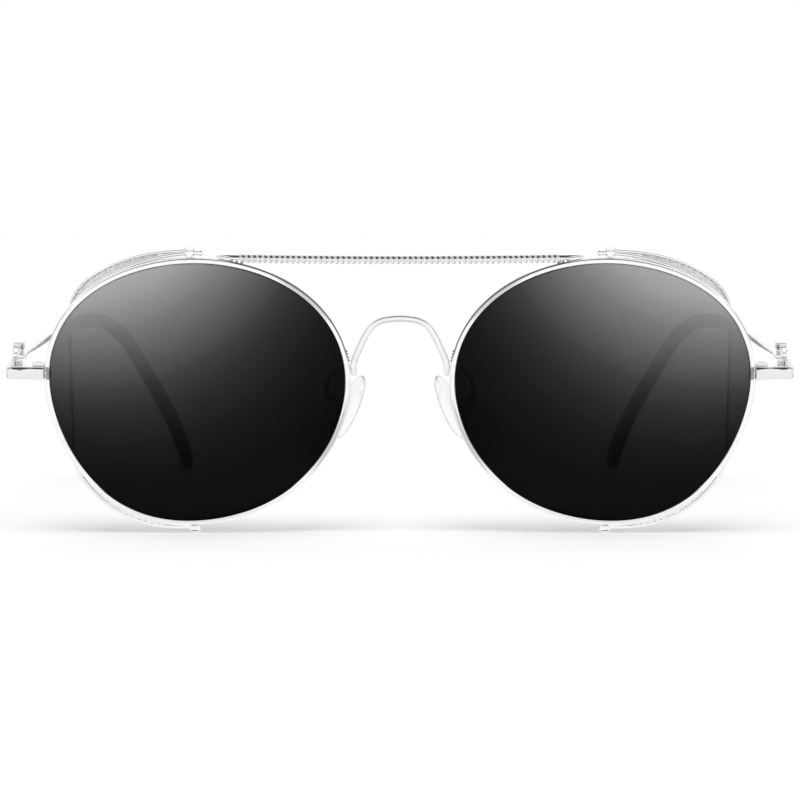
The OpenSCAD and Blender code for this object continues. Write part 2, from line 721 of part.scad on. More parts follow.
module shield_pins() {
    head_base = collar_top + collar_h + head_gap;
    color(SILVER) {
        pin(pivot_pin_r, head_base - pin_foot_top, [pivot_x, pivot_y, pin_foot_top]);
        pin(pin_head_r, pin_head_h, [pivot_x, pivot_y, head_base]);
        pin(pivot_pin_r, pin_foot_bottom - foot_z, [pivot_x, pivot_y, foot_z]);
        pin(pin_head_r, pin_head_h, [pivot_x, pivot_y, foot_z]);
    }
}

// Mesh: a thin band between the two wires with rows of four-sided gaps
mesh_edge = shield_wire_r + leaf_gap;
// The rear wire's u at the same angle about the middle of the pivots as the front wire's
rear_angles = [
    for (k = [-30:30])
        let (p = rear_plane(k / 30)) [atan2(p[1] - rear_mid, p[0] - pivot_x), k / 30]
];
function rear_match(u) =
    let (p = shield_front(u)) lookup(atan2(p[2] - rear_mid, p[0] - pivot_x), rear_angles);
function mesh_point(u, t, side) =
    let (
        f = shield_front(u), r = shield_rear(rear_match(u)), across = unit(r - f),
        along = unit(shield_front(u + 0.01) - shield_front(u - 0.01)),
        out = unit(cross(across, along))
    )
    blend(f + mesh_edge * across, r - mesh_edge * across, t) + side * mesh_t / 2 * out;
// Places of both edges of each bar, from one end of a row of gaps to the other
function bar_edges(from, to, gaps) =
    let (step = (to - from) / gaps, half = mesh_bar * step)
    [for (i = [0:gaps]) each [
        from + i * step - (i == 0 ? 0 : half),
        from + i * step + (i == gaps ? 0 : half)
    ]];
function quad(a, b, c, d) = [[a, b, c], [a, c, d]];

module shield_mesh() {
    us = bar_edges(-mesh_end, mesh_end, mesh_long);
    ts = bar_edges(0, 1, mesh_wide);
    nu = len(us);
    nt = len(ts);
    points = [for (side = [-1, 1], u = us, t = ts) mesh_point(u, t, side)];
    function is_bar(i, j) = i >= 0 && j >= 0 && i < nu - 1 && j < nt - 1
        && (i % 2 == 0 || j % 2 == 0);
    function at(side, i, j) = side * nu * nt + i * nt + j;
    function wall(i, j, di, dj, a, b, c, d) = is_bar(i + di, j + dj) ? [] : quad(
        at(a[0], i + a[1], j + a[2]), at(b[0], i + b[1], j + b[2]),
        at(c[0], i + c[1], j + c[2]), at(d[0], i + d[1], j + d[2]));
    faces = [
        for (i = [0:nu - 2], j = [0:nt - 2]) if (is_bar(i, j)) each concat(
            quad(at(0, i, j), at(0, i, j + 1), at(0, i + 1, j + 1), at(0, i + 1, j)),
            quad(at(1, i, j), at(1, i + 1, j), at(1, i + 1, j + 1), at(1, i, j + 1)),
            wall(i, j, -1, 0, [0, 0, 0], [1, 0, 0], [1, 0, 1], [0, 0, 1]),
            wall(i, j, 1, 0, [0, 1, 0], [0, 1, 1], [1, 1, 1], [1, 1, 0]),
            wall(i, j, 0, -1, [0, 0, 0], [0, 1, 0], [1, 1, 0], [1, 0, 0]),
            wall(i, j, 0, 1, [0, 0, 1], [1, 0, 1], [1, 1, 1], [0, 1, 1])
        )
    ];
    color(SILVER) polyhedron(points, faces, convexity = 10);
}

bridge();
brow_bar();
brow_coil();
on_side(RIGHT) rim();  // right_rim
on_side(LEFT) rim();  // left_rim
on_side(RIGHT) lens();  // right_lens
on_side(LEFT) lens();  // left_lens
on_side(RIGHT) rim_lock();  // right_rim_lock
on_side(LEFT) rim_lock();  // left_rim_lock
on_side(RIGHT) rim_screw();  // right_rim_screw
on_side(LEFT) rim_screw();  // left_rim_screw
on_side(RIGHT) endpiece();  // right_endpiece
on_side(LEFT) endpiece();  // left_endpiece
on_side(RIGHT) front_hinge();  // right_front_hinge
on_side(LEFT) front_hinge();  // left_front_hinge
on_side(RIGHT) hinge_screw();  // right_hinge_screw
on_side(LEFT) hinge_screw();  // left_hinge_screw
on_side(RIGHT) shield_pins();  // right_shield_pins
on_side(LEFT) shield_pins();  // left_shield_pins
on_side(RIGHT) pad_arm();  // right_pad_arm
on_side(LEFT) pad_arm();  // left_pad_arm
on_side(RIGHT) pad_box();  // right_pad_box
on_side(LEFT) pad_box();  // left_pad_box
on_side(RIGHT) pad_screw();  // right_pad_screw
on_side(LEFT) pad_screw();  // left_pad_screw
on_side(RIGHT) pad_core();  // right_pad_core
on_side(LEFT) pad_core();  // left_pad_core
on_side(RIGHT) nose_pad();  // right_nose_pad
on_side(LEFT) nose_pad();  // left_nose_pad
on_side(RIGHT) temple_hinge();  // right_temple_hinge
on_side(LEFT) temple_hinge();  // left_temple_hinge
on_side(RIGHT) temple();  // right_temple
on_side(LEFT) temple();  // left_temple
on_side(RIGHT) temple_tip();  // right_temple_tip
on_side(LEFT) temple_tip();  // left_temple_tip
on_side(RIGHT) shield_frame();  // right_shield_frame
on_side(LEFT) shield_frame();  // left_shield_frame
on_side(RIGHT) shield_mesh();  // right_shield_mesh
on_side(LEFT) shield_mesh();  // left_shield_mesh
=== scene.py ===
"""Round wire sunglasses with mesh side shields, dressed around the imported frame.

The front is described in its own upright frame: x to the wearer's left, y back from the lens
plane and z up, with the origin between the lenses. FrontFrame stands it on the floor.
"""

from __future__ import annotations

import json
import logging
import math
from dataclasses import dataclass, field
from enum import Enum
from functools import cached_property
from typing import Sequence, TypeVar

import bmesh
import bpy
from mathutils import Matrix, Vector

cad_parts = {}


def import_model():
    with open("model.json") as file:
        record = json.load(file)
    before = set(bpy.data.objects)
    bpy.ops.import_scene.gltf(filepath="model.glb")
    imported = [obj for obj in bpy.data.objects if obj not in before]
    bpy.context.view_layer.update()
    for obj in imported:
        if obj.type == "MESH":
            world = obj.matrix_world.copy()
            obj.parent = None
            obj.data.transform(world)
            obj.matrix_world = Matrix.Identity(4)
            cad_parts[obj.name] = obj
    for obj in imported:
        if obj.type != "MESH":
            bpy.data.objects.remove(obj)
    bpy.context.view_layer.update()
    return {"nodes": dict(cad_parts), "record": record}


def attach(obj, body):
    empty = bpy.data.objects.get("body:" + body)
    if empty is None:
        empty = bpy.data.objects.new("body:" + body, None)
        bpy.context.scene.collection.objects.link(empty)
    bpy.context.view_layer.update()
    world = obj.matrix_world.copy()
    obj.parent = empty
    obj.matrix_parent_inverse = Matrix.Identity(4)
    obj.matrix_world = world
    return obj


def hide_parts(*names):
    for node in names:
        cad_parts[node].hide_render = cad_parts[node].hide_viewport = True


log = logging.getLogger("sunglasses")

MM = 0.001
ACROSS = Vector((1.0, 0.0, 0.0))
BACK = Vector((0.0, 1.0, 0.0))
UP = Vector((0.0, 0.0, 1.0))

Ring = list[Vector]
Colour = tuple[float, float, float]
Stops = tuple[tuple[float, float], ...]
Tree = bpy.types.NodeTree
Socket = bpy.types.NodeSocket
Value = float | Socket
Place = TypeVar("Place", float, Vector)


class Side(Enum):
    """The wearer's two sides, with the sign of x on each."""

    LEFT = 1
    RIGHT = -1

    @property
    def label(self) -> str:
        """The side's name in small letters."""
        return self.name.lower()

    def of(self, name: str) -> str:
        """Return the name of this side's node, body or piece."""
        return f"{self.label}_{name}"


def blend(a: Place, b: Place, share: float) -> Place:
    """Return the value a share of the way from a to b, for numbers or vectors."""
    return a + (b - a) * share


def ease(share: float) -> float:
    """Return a smooth step from 0 to 1 over a share that is kept within them."""
    t = min(1.0, max(0.0, share))
    return t * t * (3 - 2 * t)


def spread(first: float, last: float, count: int) -> list[float]:
    """Return count + 1 evenly spaced values from first to last."""
    return [first + (last - first) * i / count for i in range(count + 1)]


def turns(count: int) -> list[float]:
    """Return count angles, evenly spaced round a full turn."""
    return [math.tau * i / count for i in range(count)]


def bezier(points: Sequence[Vector], t: float) -> Vector:
    """Return the point at t on a cubic curve.

    Args:
        points: The four control points.
        t: The place along the curve, from 0 to 1.

    Returns:
        The point on the curve.
    """
    s = 1.0 - t
    weights = (s**3, 3 * t * s * s, 3 * t * t * s, t**3)
    total = points[0] * weights[0]
    for point, weight in zip(points[1:], weights[1:]):
        total = total + point * weight
    return total


@dataclass
class FrontFrame:
    """Carries points from the upright front frame to the floor's."""

    tilt: float
    origin: Vector
    hinge_x: float
    hinge_back: float = 9.5 * MM
    hinge_z: float = 5.3 * MM

    @classmethod
    def from_joint(cls, joint: dict) -> "FrontFrame":
        """Work the frame out from the left temple's hinge.

        Args:
            joint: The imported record's joint, with its place and its axis.

        Returns:
            The frame in which that hinge stands upright.
        """
        axis, place = Vector(joint["axis"]), Vector(joint["pos_m"])
        frame = cls(tilt=math.atan2(-axis.y, axis.z), origin=Vector(), hinge_x=place.x)
        hinge = Vector((frame.hinge_x, frame.hinge_back, frame.hinge_z))
        frame.origin = place - frame.turn @ hinge
        return frame

    @property
    def turn(self) -> Matrix:
        """The lean of the front on the floor."""
        return Matrix.Rotation(self.tilt, 3, "X")

    def place(self, point: Vector, side: Side = Side.LEFT) -> Vector:
        """Return a point of the front in the floor's frame, mirrored for the right side."""
        mirrored = Vector((point.x * side.value, point.y, point.z))
        return self.turn @ mirrored + self.origin

    def place_all(self, points: Sequence[Vector], side: Side = Side.LEFT) -> Ring:
        """Return points of the front in the floor's frame."""
        return [self.place(point, side) for point in points]


class Shaper:
    """Makes meshes with Blender's operators, in the floor's frame, each piece at the origin."""

    @staticmethod
    def deselect() -> None:
        """Leave edit mode and deselect everything."""
        if bpy.context.object and bpy.context.object.mode != "OBJECT":
            bpy.ops.object.mode_set(mode="OBJECT")
        bpy.ops.object.select_all(action="DESELECT")

    @classmethod
    def pick(cls, *pieces: bpy.types.Object) -> None:
        """Select these pieces alone, the first of them active."""
        cls.deselect()
        for piece in pieces:
            piece.select_set(True)
        bpy.context.view_layer.objects.active = pieces[0]

    @classmethod
    def loft(
        cls, name: str, rings: Sequence[Ring], smooth_deg: float = 40.0, bored: bool = False
    ) -> bpy.types.Object:
        """Extrude a circle of points ring by ring, and close it.

        Args:
            name: The new piece's name.
            rings: Rings of equal count, in the floor's frame.
            smooth_deg: Edges sharper than this stay sharp.
            bored: Whether the last ring meets the first, instead of a flat end on each.

        Returns:
            The closed piece, with its normals outwards.
        """
        cls.deselect()
        count = len(rings[0])
        bpy.ops.mesh.primitive_circle_add(vertices=count, radius=1.0, fill_type="NOTHING")
        piece = bpy.context.object
        piece.name = piece.data.name = name
        bpy.ops.object.mode_set(mode="EDIT")
        mesh = bmesh.from_edit_mesh(piece.data)
        mesh.verts.ensure_lookup_table()
        row = list(mesh.verts)
        for vert, point in zip(row, rings[0]):
            vert.co = point
        bmesh.update_edit_mesh(piece.data)
        place = {vert.index: i for i, vert in enumerate(row)}
        for ring in rings[1:]:
            bpy.ops.mesh.extrude_edges_move()
            mesh = bmesh.from_edit_mesh(piece.data)
            mesh.verts.index_update()
            fresh = {}
            for vert in (v for v in mesh.verts if v.select):
                source = next(
                    other.index
                    for other in (edge.other_vert(vert) for edge in vert.link_edges)
                    if not other.select
                )
                fresh[vert.index] = place[source]
                vert.co = ring[place[source]]
            place = fresh
            bmesh.update_edit_mesh(piece.data)
        bpy.ops.mesh.select_all(action="DESELECT")
        bpy.ops.mesh.select_mode(type="EDGE")
        bpy.ops.mesh.select_non_manifold(extend=False)
        if bored:
            bpy.ops.mesh.bridge_edge_loops()
        else:
            bpy.ops.mesh.edge_face_add()
        bpy.ops.mesh.select_mode(type="VERT")
        bpy.ops.mesh.select_all(action="SELECT")
        bpy.ops.mesh.normals_make_consistent(inside=False)
        bpy.ops.object.mode_set(mode="OBJECT")
        cls.smooth(piece, smooth_deg)
        return piece

    @classmethod
    def smooth(cls, piece: bpy.types.Object, degrees: float) -> None:
        """Shade a piece smooth, but for the edges sharper than an angle."""
        cls.pick(piece)
        bpy.ops.object.shade_smooth_by_angle(angle=math.radians(degrees))

    @classmethod
    def tubes(
        cls,
        name: str,
        paths: Sequence[Sequence[Vector]],
        radius: float,
        sides: int = 12,
        radii: Sequence[Sequence[float]] | None = None,
    ) -> bpy.types.Object:
        """Sweep a round wire along one or more paths, as one mesh.

        Args:
            name: The new piece's name.
            paths: The middle line of each wire, in the floor's frame.
            radius: The wire's radius in metres.
            sides: Sides of the wire, a multiple of four.
            radii: For each path, the share of the radius at each of its points.

        Returns:
            The piece, a mesh with closed ends.
        """
        cls.deselect()
        bpy.ops.curve.primitive_bezier_curve_add()
        curve = bpy.context.object
        data = curve.data
        data.splines.clear()
        data.dimensions = "3D"
        data.twist_mode = "MINIMUM"
        for number, path in enumerate(paths):
            spline = data.splines.new("POLY")
            spline.points.add(len(path) - 1)
            for i, (slot, point) in enumerate(zip(spline.points, path)):
                slot.co = (*point, 1.0)
                slot.radius = radii[number][i] if radii else 1.0
        data.bevel_depth = radius
        data.bevel_resolution = sides // 4 - 1
        data.use_fill_caps = True
        cls.pick(curve)
        bpy.ops.object.convert(target="MESH")
        piece = bpy.context.object
        piece.name = piece.data.name = name
        cls.weld(piece)
        cls.smooth(piece, 50.0)
        return piece

    @classmethod
    def weld(cls, piece: bpy.types.Object, distance: float = 1e-6) -> None:
        """Merge doubled points and turn the faces outwards."""
        cls.pick(piece)
        bpy.ops.object.mode_set(mode="EDIT")
        bpy.ops.mesh.select_all(action="SELECT")
        bpy.ops.mesh.remove_doubles(threshold=distance)
        bpy.ops.mesh.normals_make_consistent(inside=False)
        bpy.ops.object.mode_set(mode="OBJECT")

    @classmethod
    def bead(cls, place: Vector, radius: float, squash: Vector) -> bpy.types.Object:
        """Make one drop of solder.

        Args:
            place: Its middle, in the floor's frame.
            radius: Its radius before it is squashed.
            squash: What is left of it along each axis.

        Returns:
            The drop.
        """
        cls.deselect()
        bpy.ops.mesh.primitive_uv_sphere_add(
            segments=16, ring_count=10, radius=radius, location=place
        )
        drop = bpy.context.object
        bpy.ops.object.mode_set(mode="EDIT")
        bpy.ops.mesh.select_all(action="SELECT")
        bpy.ops.transform.resize(value=squash)
        bpy.ops.object.mode_set(mode="OBJECT")
        bpy.ops.object.transform_apply(location=True, rotation=True, scale=True)
        return drop

    @classmethod
    def join(cls, name: str, *pieces: bpy.types.Object) -> bpy.types.Object:
        """Join pieces into the first one and name it."""
        cls.pick(*pieces)
        bpy.ops.object.join()
        whole = bpy.context.object
        whole.name = whole.data.name = name
        return whole

    @staticmethod
    def soften(node: bpy.types.Object, width: float, segments: int = 2) -> None:
        """Round the edges of a node of the frame with live modifiers; its mesh stays as it is."""
        weld = node.modifiers.new("weld", "WELD")
        weld.merge_threshold = 2e-6
        bevel = node.modifiers.new("edge", "BEVEL")
        bevel.width = width
        bevel.segments = segments
        bevel.limit_method = "ANGLE"
        bevel.angle_limit = math.radians(40.0)
        bevel.harden_normals = True


@dataclass(frozen=True)
class Section:
    """A ring with rounded flat sides: a square of 2 gives an ellipse, and more squarer sides."""

    height: float
    width: float
    square: float
    count: int

    def ring(self, centre: Vector, along: Vector, up: Vector = UP) -> Ring:
        """Return the section's points.

        Args:
            centre: The ring's middle.
            along: The direction that the ring is square to.
            up: The direction in which the height is measured.

        Returns:
            The ring.
        """
        along = along.normalized()
        first = (up - along * up.dot(along)).normalized()
        second = along.cross(first)
        power = 2.0 / self.square
        ring = []
        for angle in turns(self.count):
            c, s = math.cos(angle), math.sin(angle)
            high = self.height / 2 * math.copysign(abs(c) ** power, c)
            wide = self.width / 2 * math.copysign(abs(s) ** power, s)
            ring.append(centre + first * high + second * wide)
        return ring


def add_node(
    tree: Tree, kind: str, inputs: dict | None = None, **settings: object
) -> bpy.types.Node:
    """Add a shader node, with its inputs linked or set.

    Args:
        tree: The node tree.
        kind: The node's type, without its usual beginning.
        inputs: A socket, to link, or a value, to set, for each input by name or number.
        **settings: The node's own settings.

    Returns:
        The node.
    """
    node = tree.nodes.new(f"ShaderNode{kind}")
    for name, setting in settings.items():
        setattr(node, name, setting)
    for slot, value in (inputs or {}).items():
        if isinstance(value, Socket):
            tree.links.new(value, node.inputs[slot])
        else:
            node.inputs[slot].default_value = value
    return node


def calc(
    tree: Tree, operation: str, first: Value, second: Value = 0.0, clamp: bool = False
) -> Socket:
    """Add a math node.

    Args:
        tree: The node tree.
        operation: The node's operation.
        first: The first input.
        second: The second input.
        clamp: Whether the result is kept from 0 to 1.

    Returns:
        The node's output.
    """
    node = add_node(tree, "Math", {0: first, 1: second}, operation=operation, use_clamp=clamp)
    return node.outputs[0]


def dot(tree: Tree, vector: Socket, direction: Vector) -> Socket:
    """Add a node for how far a vector reaches in a direction."""
    node = add_node(tree, "VectorMath", {0: vector, 1: direction}, operation="DOT_PRODUCT")
    return node.outputs["Value"]


def step(
    tree: Tree, value: Socket, low: float, high: float, ends: tuple[float, float] = (0.0, 1.0)
) -> Socket:
    """Add a smooth step.

    Args:
        tree: The node tree.
        value: What the step goes by.
        low: Where the step starts.
        high: Where the step ends.
        ends: The result at its start and its end.

    Returns:
        The node's output.
    """
    inputs = {
        "Value": value, "From Min": low, "From Max": high, "To Min": ends[0], "To Max": ends[1],
    }
    return add_node(tree, "MapRange", inputs, interpolation_type="SMOOTHSTEP").outputs["Result"]


def ramp(tree: Tree, place: Socket, stops: Sequence[tuple[float, Colour]]) -> Socket:
    """Add a colour ramp.

    Args:
        tree: The node tree.
        place: What the ramp goes by.
        stops: Pairs of place and colour, from the first to the last.

    Returns:
        The colour's socket.
    """
    node = add_node(tree, "ValToRGB", {"Fac": place})
    elements = node.color_ramp.elements
    while len(elements) < len(stops):
        elements.new(1.0)
    for element, (position, colour) in zip(elements, stops):
        element.position = position
        element.color = (*colour, 1.0)
    return node.outputs["Color"]


def build_wear_group() -> Tree:
    """Build the handling wear that every hard finish shares: uneven polish and fine scratches."""
    tree = bpy.data.node_groups.new("handling_wear", "ShaderNodeTree")
    inputs = {"Polish": 0.08, "Variation": 0.05, "Cloud Scale": 240.0, "Scratch Scale": 2600.0}
    for label, default in inputs.items():
        socket = tree.interface.new_socket(label, in_out="INPUT", socket_type="NodeSocketFloat")
        socket.default_value = default
    for label in ("Roughness", "Height"):
        tree.interface.new_socket(label, in_out="OUTPUT", socket_type="NodeSocketFloat")
    source = tree.nodes.new("NodeGroupInput").outputs
    sink = tree.nodes.new("NodeGroupOutput").inputs
    coords = add_node(tree, "TexCoord").outputs["Object"]
    cloud = add_node(
        tree, "TexNoise", {"Vector": coords, "Scale": source["Cloud Scale"], "Detail": 4.0}
    )
    stretch = add_node(tree, "Mapping", {"Vector": coords, "Scale": (0.12, 1.0, 1.0)})
    scratch = add_node(
        tree,
        "TexNoise",
        {"Vector": stretch.outputs["Vector"], "Scale": source["Scratch Scale"], "Detail": 2.0},
    )
    swings = [calc(tree, "SUBTRACT", noise.outputs["Fac"], 0.5) for noise in (cloud, scratch)]
    uneven, fine = (calc(tree, "MULTIPLY", swing, source["Variation"]) for swing in swings)
    rough = calc(tree, "ADD", source["Polish"], calc(tree, "MULTIPLY", uneven, 2.0))
    tree.links.new(calc(tree, "ADD", rough, fine, clamp=True), sink["Roughness"])
    tree.links.new(scratch.outputs["Fac"], sink["Height"])
    return tree


@dataclass(frozen=True)
class Wear:
    """How smooth a finish is, and how the handling wear shows on it."""

    polish: float
    variation: float = 0.06
    bump: float = 0.12
    cloud_scale: float = 240.0

    def feed(self, tree: Tree, shader: bpy.types.Node, group: Tree) -> None:
        """Feed a shader's roughness and normal.

        Args:
            tree: The material's node tree.
            shader: Its shader.
            group: The shared handling wear.
        """
        worn = tree.nodes.new("ShaderNodeGroup")
        worn.node_tree = group
        worn.inputs["Polish"].default_value = self.polish
        worn.inputs["Variation"].default_value = self.variation
        worn.inputs["Cloud Scale"].default_value = self.cloud_scale
        tree.links.new(worn.outputs["Roughness"], shader.inputs["Roughness"])
        relief = {"Strength": self.bump, "Distance": 0.01 * MM, "Height": worn.outputs["Height"]}
        bump = add_node(tree, "Bump", relief)
        tree.links.new(bump.outputs["Normal"], shader.inputs["Normal"])


class Slot(Enum):
    """The record's material slots."""

    METAL = "plated_metal"
    COIL = "coil_wire"
    MESH = "mesh_wire"
    SCREW = "screw_steel"
    LENS = "smoke_lens"
    TIP = "black_tip"
    PAD = "clear_pad"


@dataclass(frozen=True, kw_only=True)
class Finish:
    """What every finish shares: a name, a slot and how it is worn."""

    name: str
    slot: Slot
    wear: Wear | None = None

    def colour(self, tree: Tree, shader: bpy.types.Node, frame: FrontFrame) -> None:
        """Set what is the finish's own, which each kind of finish does for itself."""
        raise NotImplementedError

    def build(self, frame: FrontFrame, group: Tree) -> bpy.types.Material:
        """Make the material.

        Args:
            frame: The front's frame, for patterns that lie on it.
            group: The shared handling wear.

        Returns:
            The material.
        """
        material = bpy.data.materials.new(self.name)
        material.use_nodes = True
        tree = material.node_tree
        shader = tree.nodes["Principled BSDF"]
        self.colour(tree, shader, frame)
        if self.wear:
            self.wear.feed(tree, shader, group)
        return material


@dataclass(frozen=True, kw_only=True)
class Metal(Finish):
    """A plated or turned metal of one colour."""

    slot: Slot = Slot.METAL
    tint: Colour = (0.93, 0.935, 0.945)

    def colour(self, tree: Tree, shader: bpy.types.Node, frame: FrontFrame) -> None:
        """Set the metal's colour."""
        shader.inputs["Base Color"].default_value = (*self.tint, 1.0)
        shader.inputs["Metallic"].default_value = 1.0


@dataclass(frozen=True, kw_only=True)
class RimPlatingPaintedReflection(Metal):
    """A rim's plating with a painted reflection: a darker line along its front corner beside the
    brow bar, and a grey band on its face beside it.
    """

    side: Side
    dark: Colour = (0.16, 0.165, 0.175)
    lean: float = math.radians(50.0)
    # How far the surface faces the front where the painted line fades in, and where it fades out
    painted_line_start: tuple[float, float] = (0.06, 0.22)
    painted_line_stop: tuple[float, float] = (0.94, 0.74)
    # How far towards the brow bar, from the lens's middle, the painted line and the painted grey
    # band start and end
    painted_line_reach: tuple[float, float] = (22.4 * MM, 24.0 * MM)
    painted_haze_reach: tuple[float, float] = (25.9 * MM, 26.9 * MM)
    painted_haze: float = 0.42

    def colour(self, tree: Tree, shader: bpy.types.Node, frame: FrontFrame) -> None:
        """Paint a reflection: a darker line on the corner, and a grey band on the rim's face beside
        it.
        """
        super().colour(tree, shader, frame)
        coords = add_node(tree, "TexCoord").outputs
        middle = frame.place(LensOutline().at(0.0, 0.0), self.side)
        to_bar = Vector((-self.side.value * math.cos(self.lean), 0.0, math.sin(self.lean)))
        place = add_node(tree, "VectorMath", {0: coords["Object"], 1: middle}, operation="SUBTRACT")
        reach = dot(tree, place.outputs["Vector"], frame.turn @ to_bar)
        facing = dot(tree, coords["Normal"], frame.turn @ -BACK)
        # painted reflection: darker where the corner faces part way to the front, near the brow bar
        corner = step(tree, facing, *self.painted_line_start)
        corner = calc(tree, "MULTIPLY", corner, step(tree, facing, *self.painted_line_stop))
        corner = calc(tree, "MULTIPLY", corner, step(tree, reach, *self.painted_line_reach))
        # painted reflection: a grey band on the rim's face nearest the brow bar
        painted_haze = calc(tree, "MULTIPLY", step(tree, reach, *self.painted_haze_reach), self.painted_haze)
        dark = calc(tree, "ADD", corner, painted_haze, clamp=True)
        colour = ramp(tree, dark, ((0.0, self.tint), (1.0, self.dark)))
        tree.links.new(colour, shader.inputs["Base Color"])


@dataclass(frozen=True, kw_only=True)
class CornerSatinPaintedLine(Metal):
    """The softer polish of the end pieces, with a painted reflection: a wavy darker line along
    their upper edge.
    """

    tint: Colour = (0.82, 0.825, 0.835)
    dark: Colour = (0.10, 0.105, 0.11)
    line: tuple[float, float] = (0.84, 0.95)
    wave: float = 0.5
    wave_scale: float = 420.0

    def colour(self, tree: Tree, shader: bpy.types.Node, frame: FrontFrame) -> None:
        """Paint a reflection on the upper edge: a darker line of uneven width."""
        super().colour(tree, shader, frame)
        coords = add_node(tree, "TexCoord").outputs
        noise = {"Vector": coords["Object"], "Scale": self.wave_scale, "Detail": 1.0}
        waves = add_node(tree, "TexNoise", noise)
        stray = calc(tree, "SUBTRACT", waves.outputs["Fac"], 0.5)
        # painted reflection: darker where the surface faces up and to the front
        facing = dot(tree, coords["Normal"], frame.turn @ (UP - BACK).normalized())
        facing = calc(tree, "ADD", facing, calc(tree, "MULTIPLY", stray, self.wave))
        dark = step(tree, facing, *self.line)
        colour = ramp(tree, dark, ((0.0, self.tint), (1.0, self.dark)))
        tree.links.new(colour, shader.inputs["Base Color"])


@dataclass(frozen=True, kw_only=True)
class SmokeLens(Finish):
    """A smoke lens with a mirror coating; the smoke is the lens's own, and the fade of both from
    its outer top to its nose side is a painted reflection of a bright light above.
    """

    side: Side
    slot: Slot = Slot.LENS
    lean: float = math.radians(25.0)
    reach: float = 27.0 * MM
    droop: float = 12.0
    middle: float = 0.495
    cast: Colour = (0.92, 1.0, 1.08)
    # Each pair is a place from the bottom of the nose side to the outer top, and a strength of the
    # painted reflection
    coat: Stops = (
        (0.0, 0.0045), (0.20, 0.005), (0.31, 0.0068), (0.38, 0.0105), (0.45, 0.0235),
        (0.52, 0.045), (0.59, 0.083), (0.65, 0.165), (0.72, 0.28), (0.79, 0.42), (0.86, 0.63),
        (0.93, 0.88), (1.0, 1.0),
    )
    tint: Stops = (
        (0.0, 0.0029), (0.18, 0.0032), (0.31, 0.0055), (0.50, 0.0125), (0.62, 0.024),
        (0.72, 0.034), (0.79, 0.048), (0.86, 0.065), (0.93, 0.09), (1.0, 0.10),
    )

    def colour(self, tree: Tree, shader: bpy.types.Node, frame: FrontFrame) -> None:
        """Fade the mirror coating and the tint along a line that droops towards its sides, as a
        painted reflection.
        """
        for label, value in (
            ("Transmission Weight", 1.0), ("IOR", 1.06), ("Roughness", 0.015),
            ("Coat IOR", 3.8), ("Coat Roughness", 0.01),
        ):
            shader.inputs[label].default_value = value
        sine, cosine = math.sin(self.lean), math.cos(self.lean)
        outer_top = frame.turn @ Vector((self.side.value * sine, 0.0, cosine))
        sideways = frame.turn @ Vector((self.side.value * cosine, 0.0, -sine))
        middle = frame.place(LensOutline().at(0.0, 0.0), self.side)
        coords = add_node(tree, "TexCoord").outputs["Object"]
        mapping = add_node(
            tree, "Mapping", {"Vector": coords, "Location": -middle}, vector_type="POINT"
        ).outputs["Vector"]
        droop = calc(tree, "POWER", dot(tree, mapping, sideways), 2.0)
        droop = calc(tree, "MULTIPLY", droop, self.droop)
        along = calc(tree, "SUBTRACT", dot(tree, mapping, outer_top), droop)
        place = calc(tree, "DIVIDE", along, 2 * self.reach)
        place = calc(tree, "ADD", place, self.middle, clamp=True)
        # painted reflection: the mirror coating grows stronger and the tint lighter towards the
        # outer top
        coat = ramp(tree, place, [(stop, (v, v, v)) for stop, v in self.coat])
        tint = ramp(
            tree, place, [(stop, tuple(v * share for share in self.cast)) for stop, v in self.tint]
        )
        tree.links.new(coat, shader.inputs["Coat Weight"])
        tree.links.new(tint, shader.inputs["Base Color"])


@dataclass(frozen=True, kw_only=True)
class TipAcetate(Finish):
    """Polished black acetate of the temple tips."""

    name: str = "tip_acetate"
    slot: Slot = Slot.TIP
    wear: Wear = Wear(0.22, variation=0.12, bump=0.2, cloud_scale=160.0)

    def colour(self, tree: Tree, shader: bpy.types.Node, frame: FrontFrame) -> None:
        """Set the black and its polish."""
        shader.inputs["Base Color"].default_value = (0.012, 0.012, 0.013, 1.0)
        shader.inputs["Coat Weight"].default_value = 0.4
        shader.inputs["Coat Roughness"].default_value = 0.08


@dataclass(frozen=True, kw_only=True)
class PadSilicone(Finish):
    """Clear soft silicone of the nose pads, with painted shade: greyer where it is seen edge on."""

    name: str = "pad_silicone"
    slot: Slot = Slot.PAD
    wear: Wear = Wear(0.12, variation=0.06, bump=0.10, cloud_scale=300.0)
    face: Colour = (0.975, 0.98, 0.985)
    edge: Colour = (0.50, 0.505, 0.515)

    def colour(self, tree: Tree, shader: bpy.types.Node, frame: FrontFrame) -> None:
        """Let the silicone through most of the light."""
        shader.inputs["Transmission Weight"].default_value = 1.0
        shader.inputs["IOR"].default_value = 1.18
        # painted shade: the colour turns grey where the surface is seen edge on
        facing = add_node(tree, "LayerWeight", {"Blend": 0.35}).outputs["Facing"]
        colour = ramp(tree, facing, ((0.12, self.face), (0.95, self.edge)))
        tree.links.new(colour, shader.inputs["Base Color"])


PLATING = Metal(name="silver_plating", wear=Wear(0.09))
COIL_WIRE = Metal(
    name="coil_wire", slot=Slot.COIL, tint=(0.92, 0.925, 0.935), wear=Wear(0.42)
)
WINDING_SHADOW = Metal(
    name="winding_shadow", slot=Slot.COIL, tint=(0.10, 0.10, 0.105), wear=Wear(0.35)
)
MESH_WIRE = Metal(name="mesh_wire", slot=Slot.MESH, tint=(0.90, 0.905, 0.915), wear=Wear(0.34))
BRIDGE_SATIN = Metal(name="bridge_satin", wear=Wear(0.34))
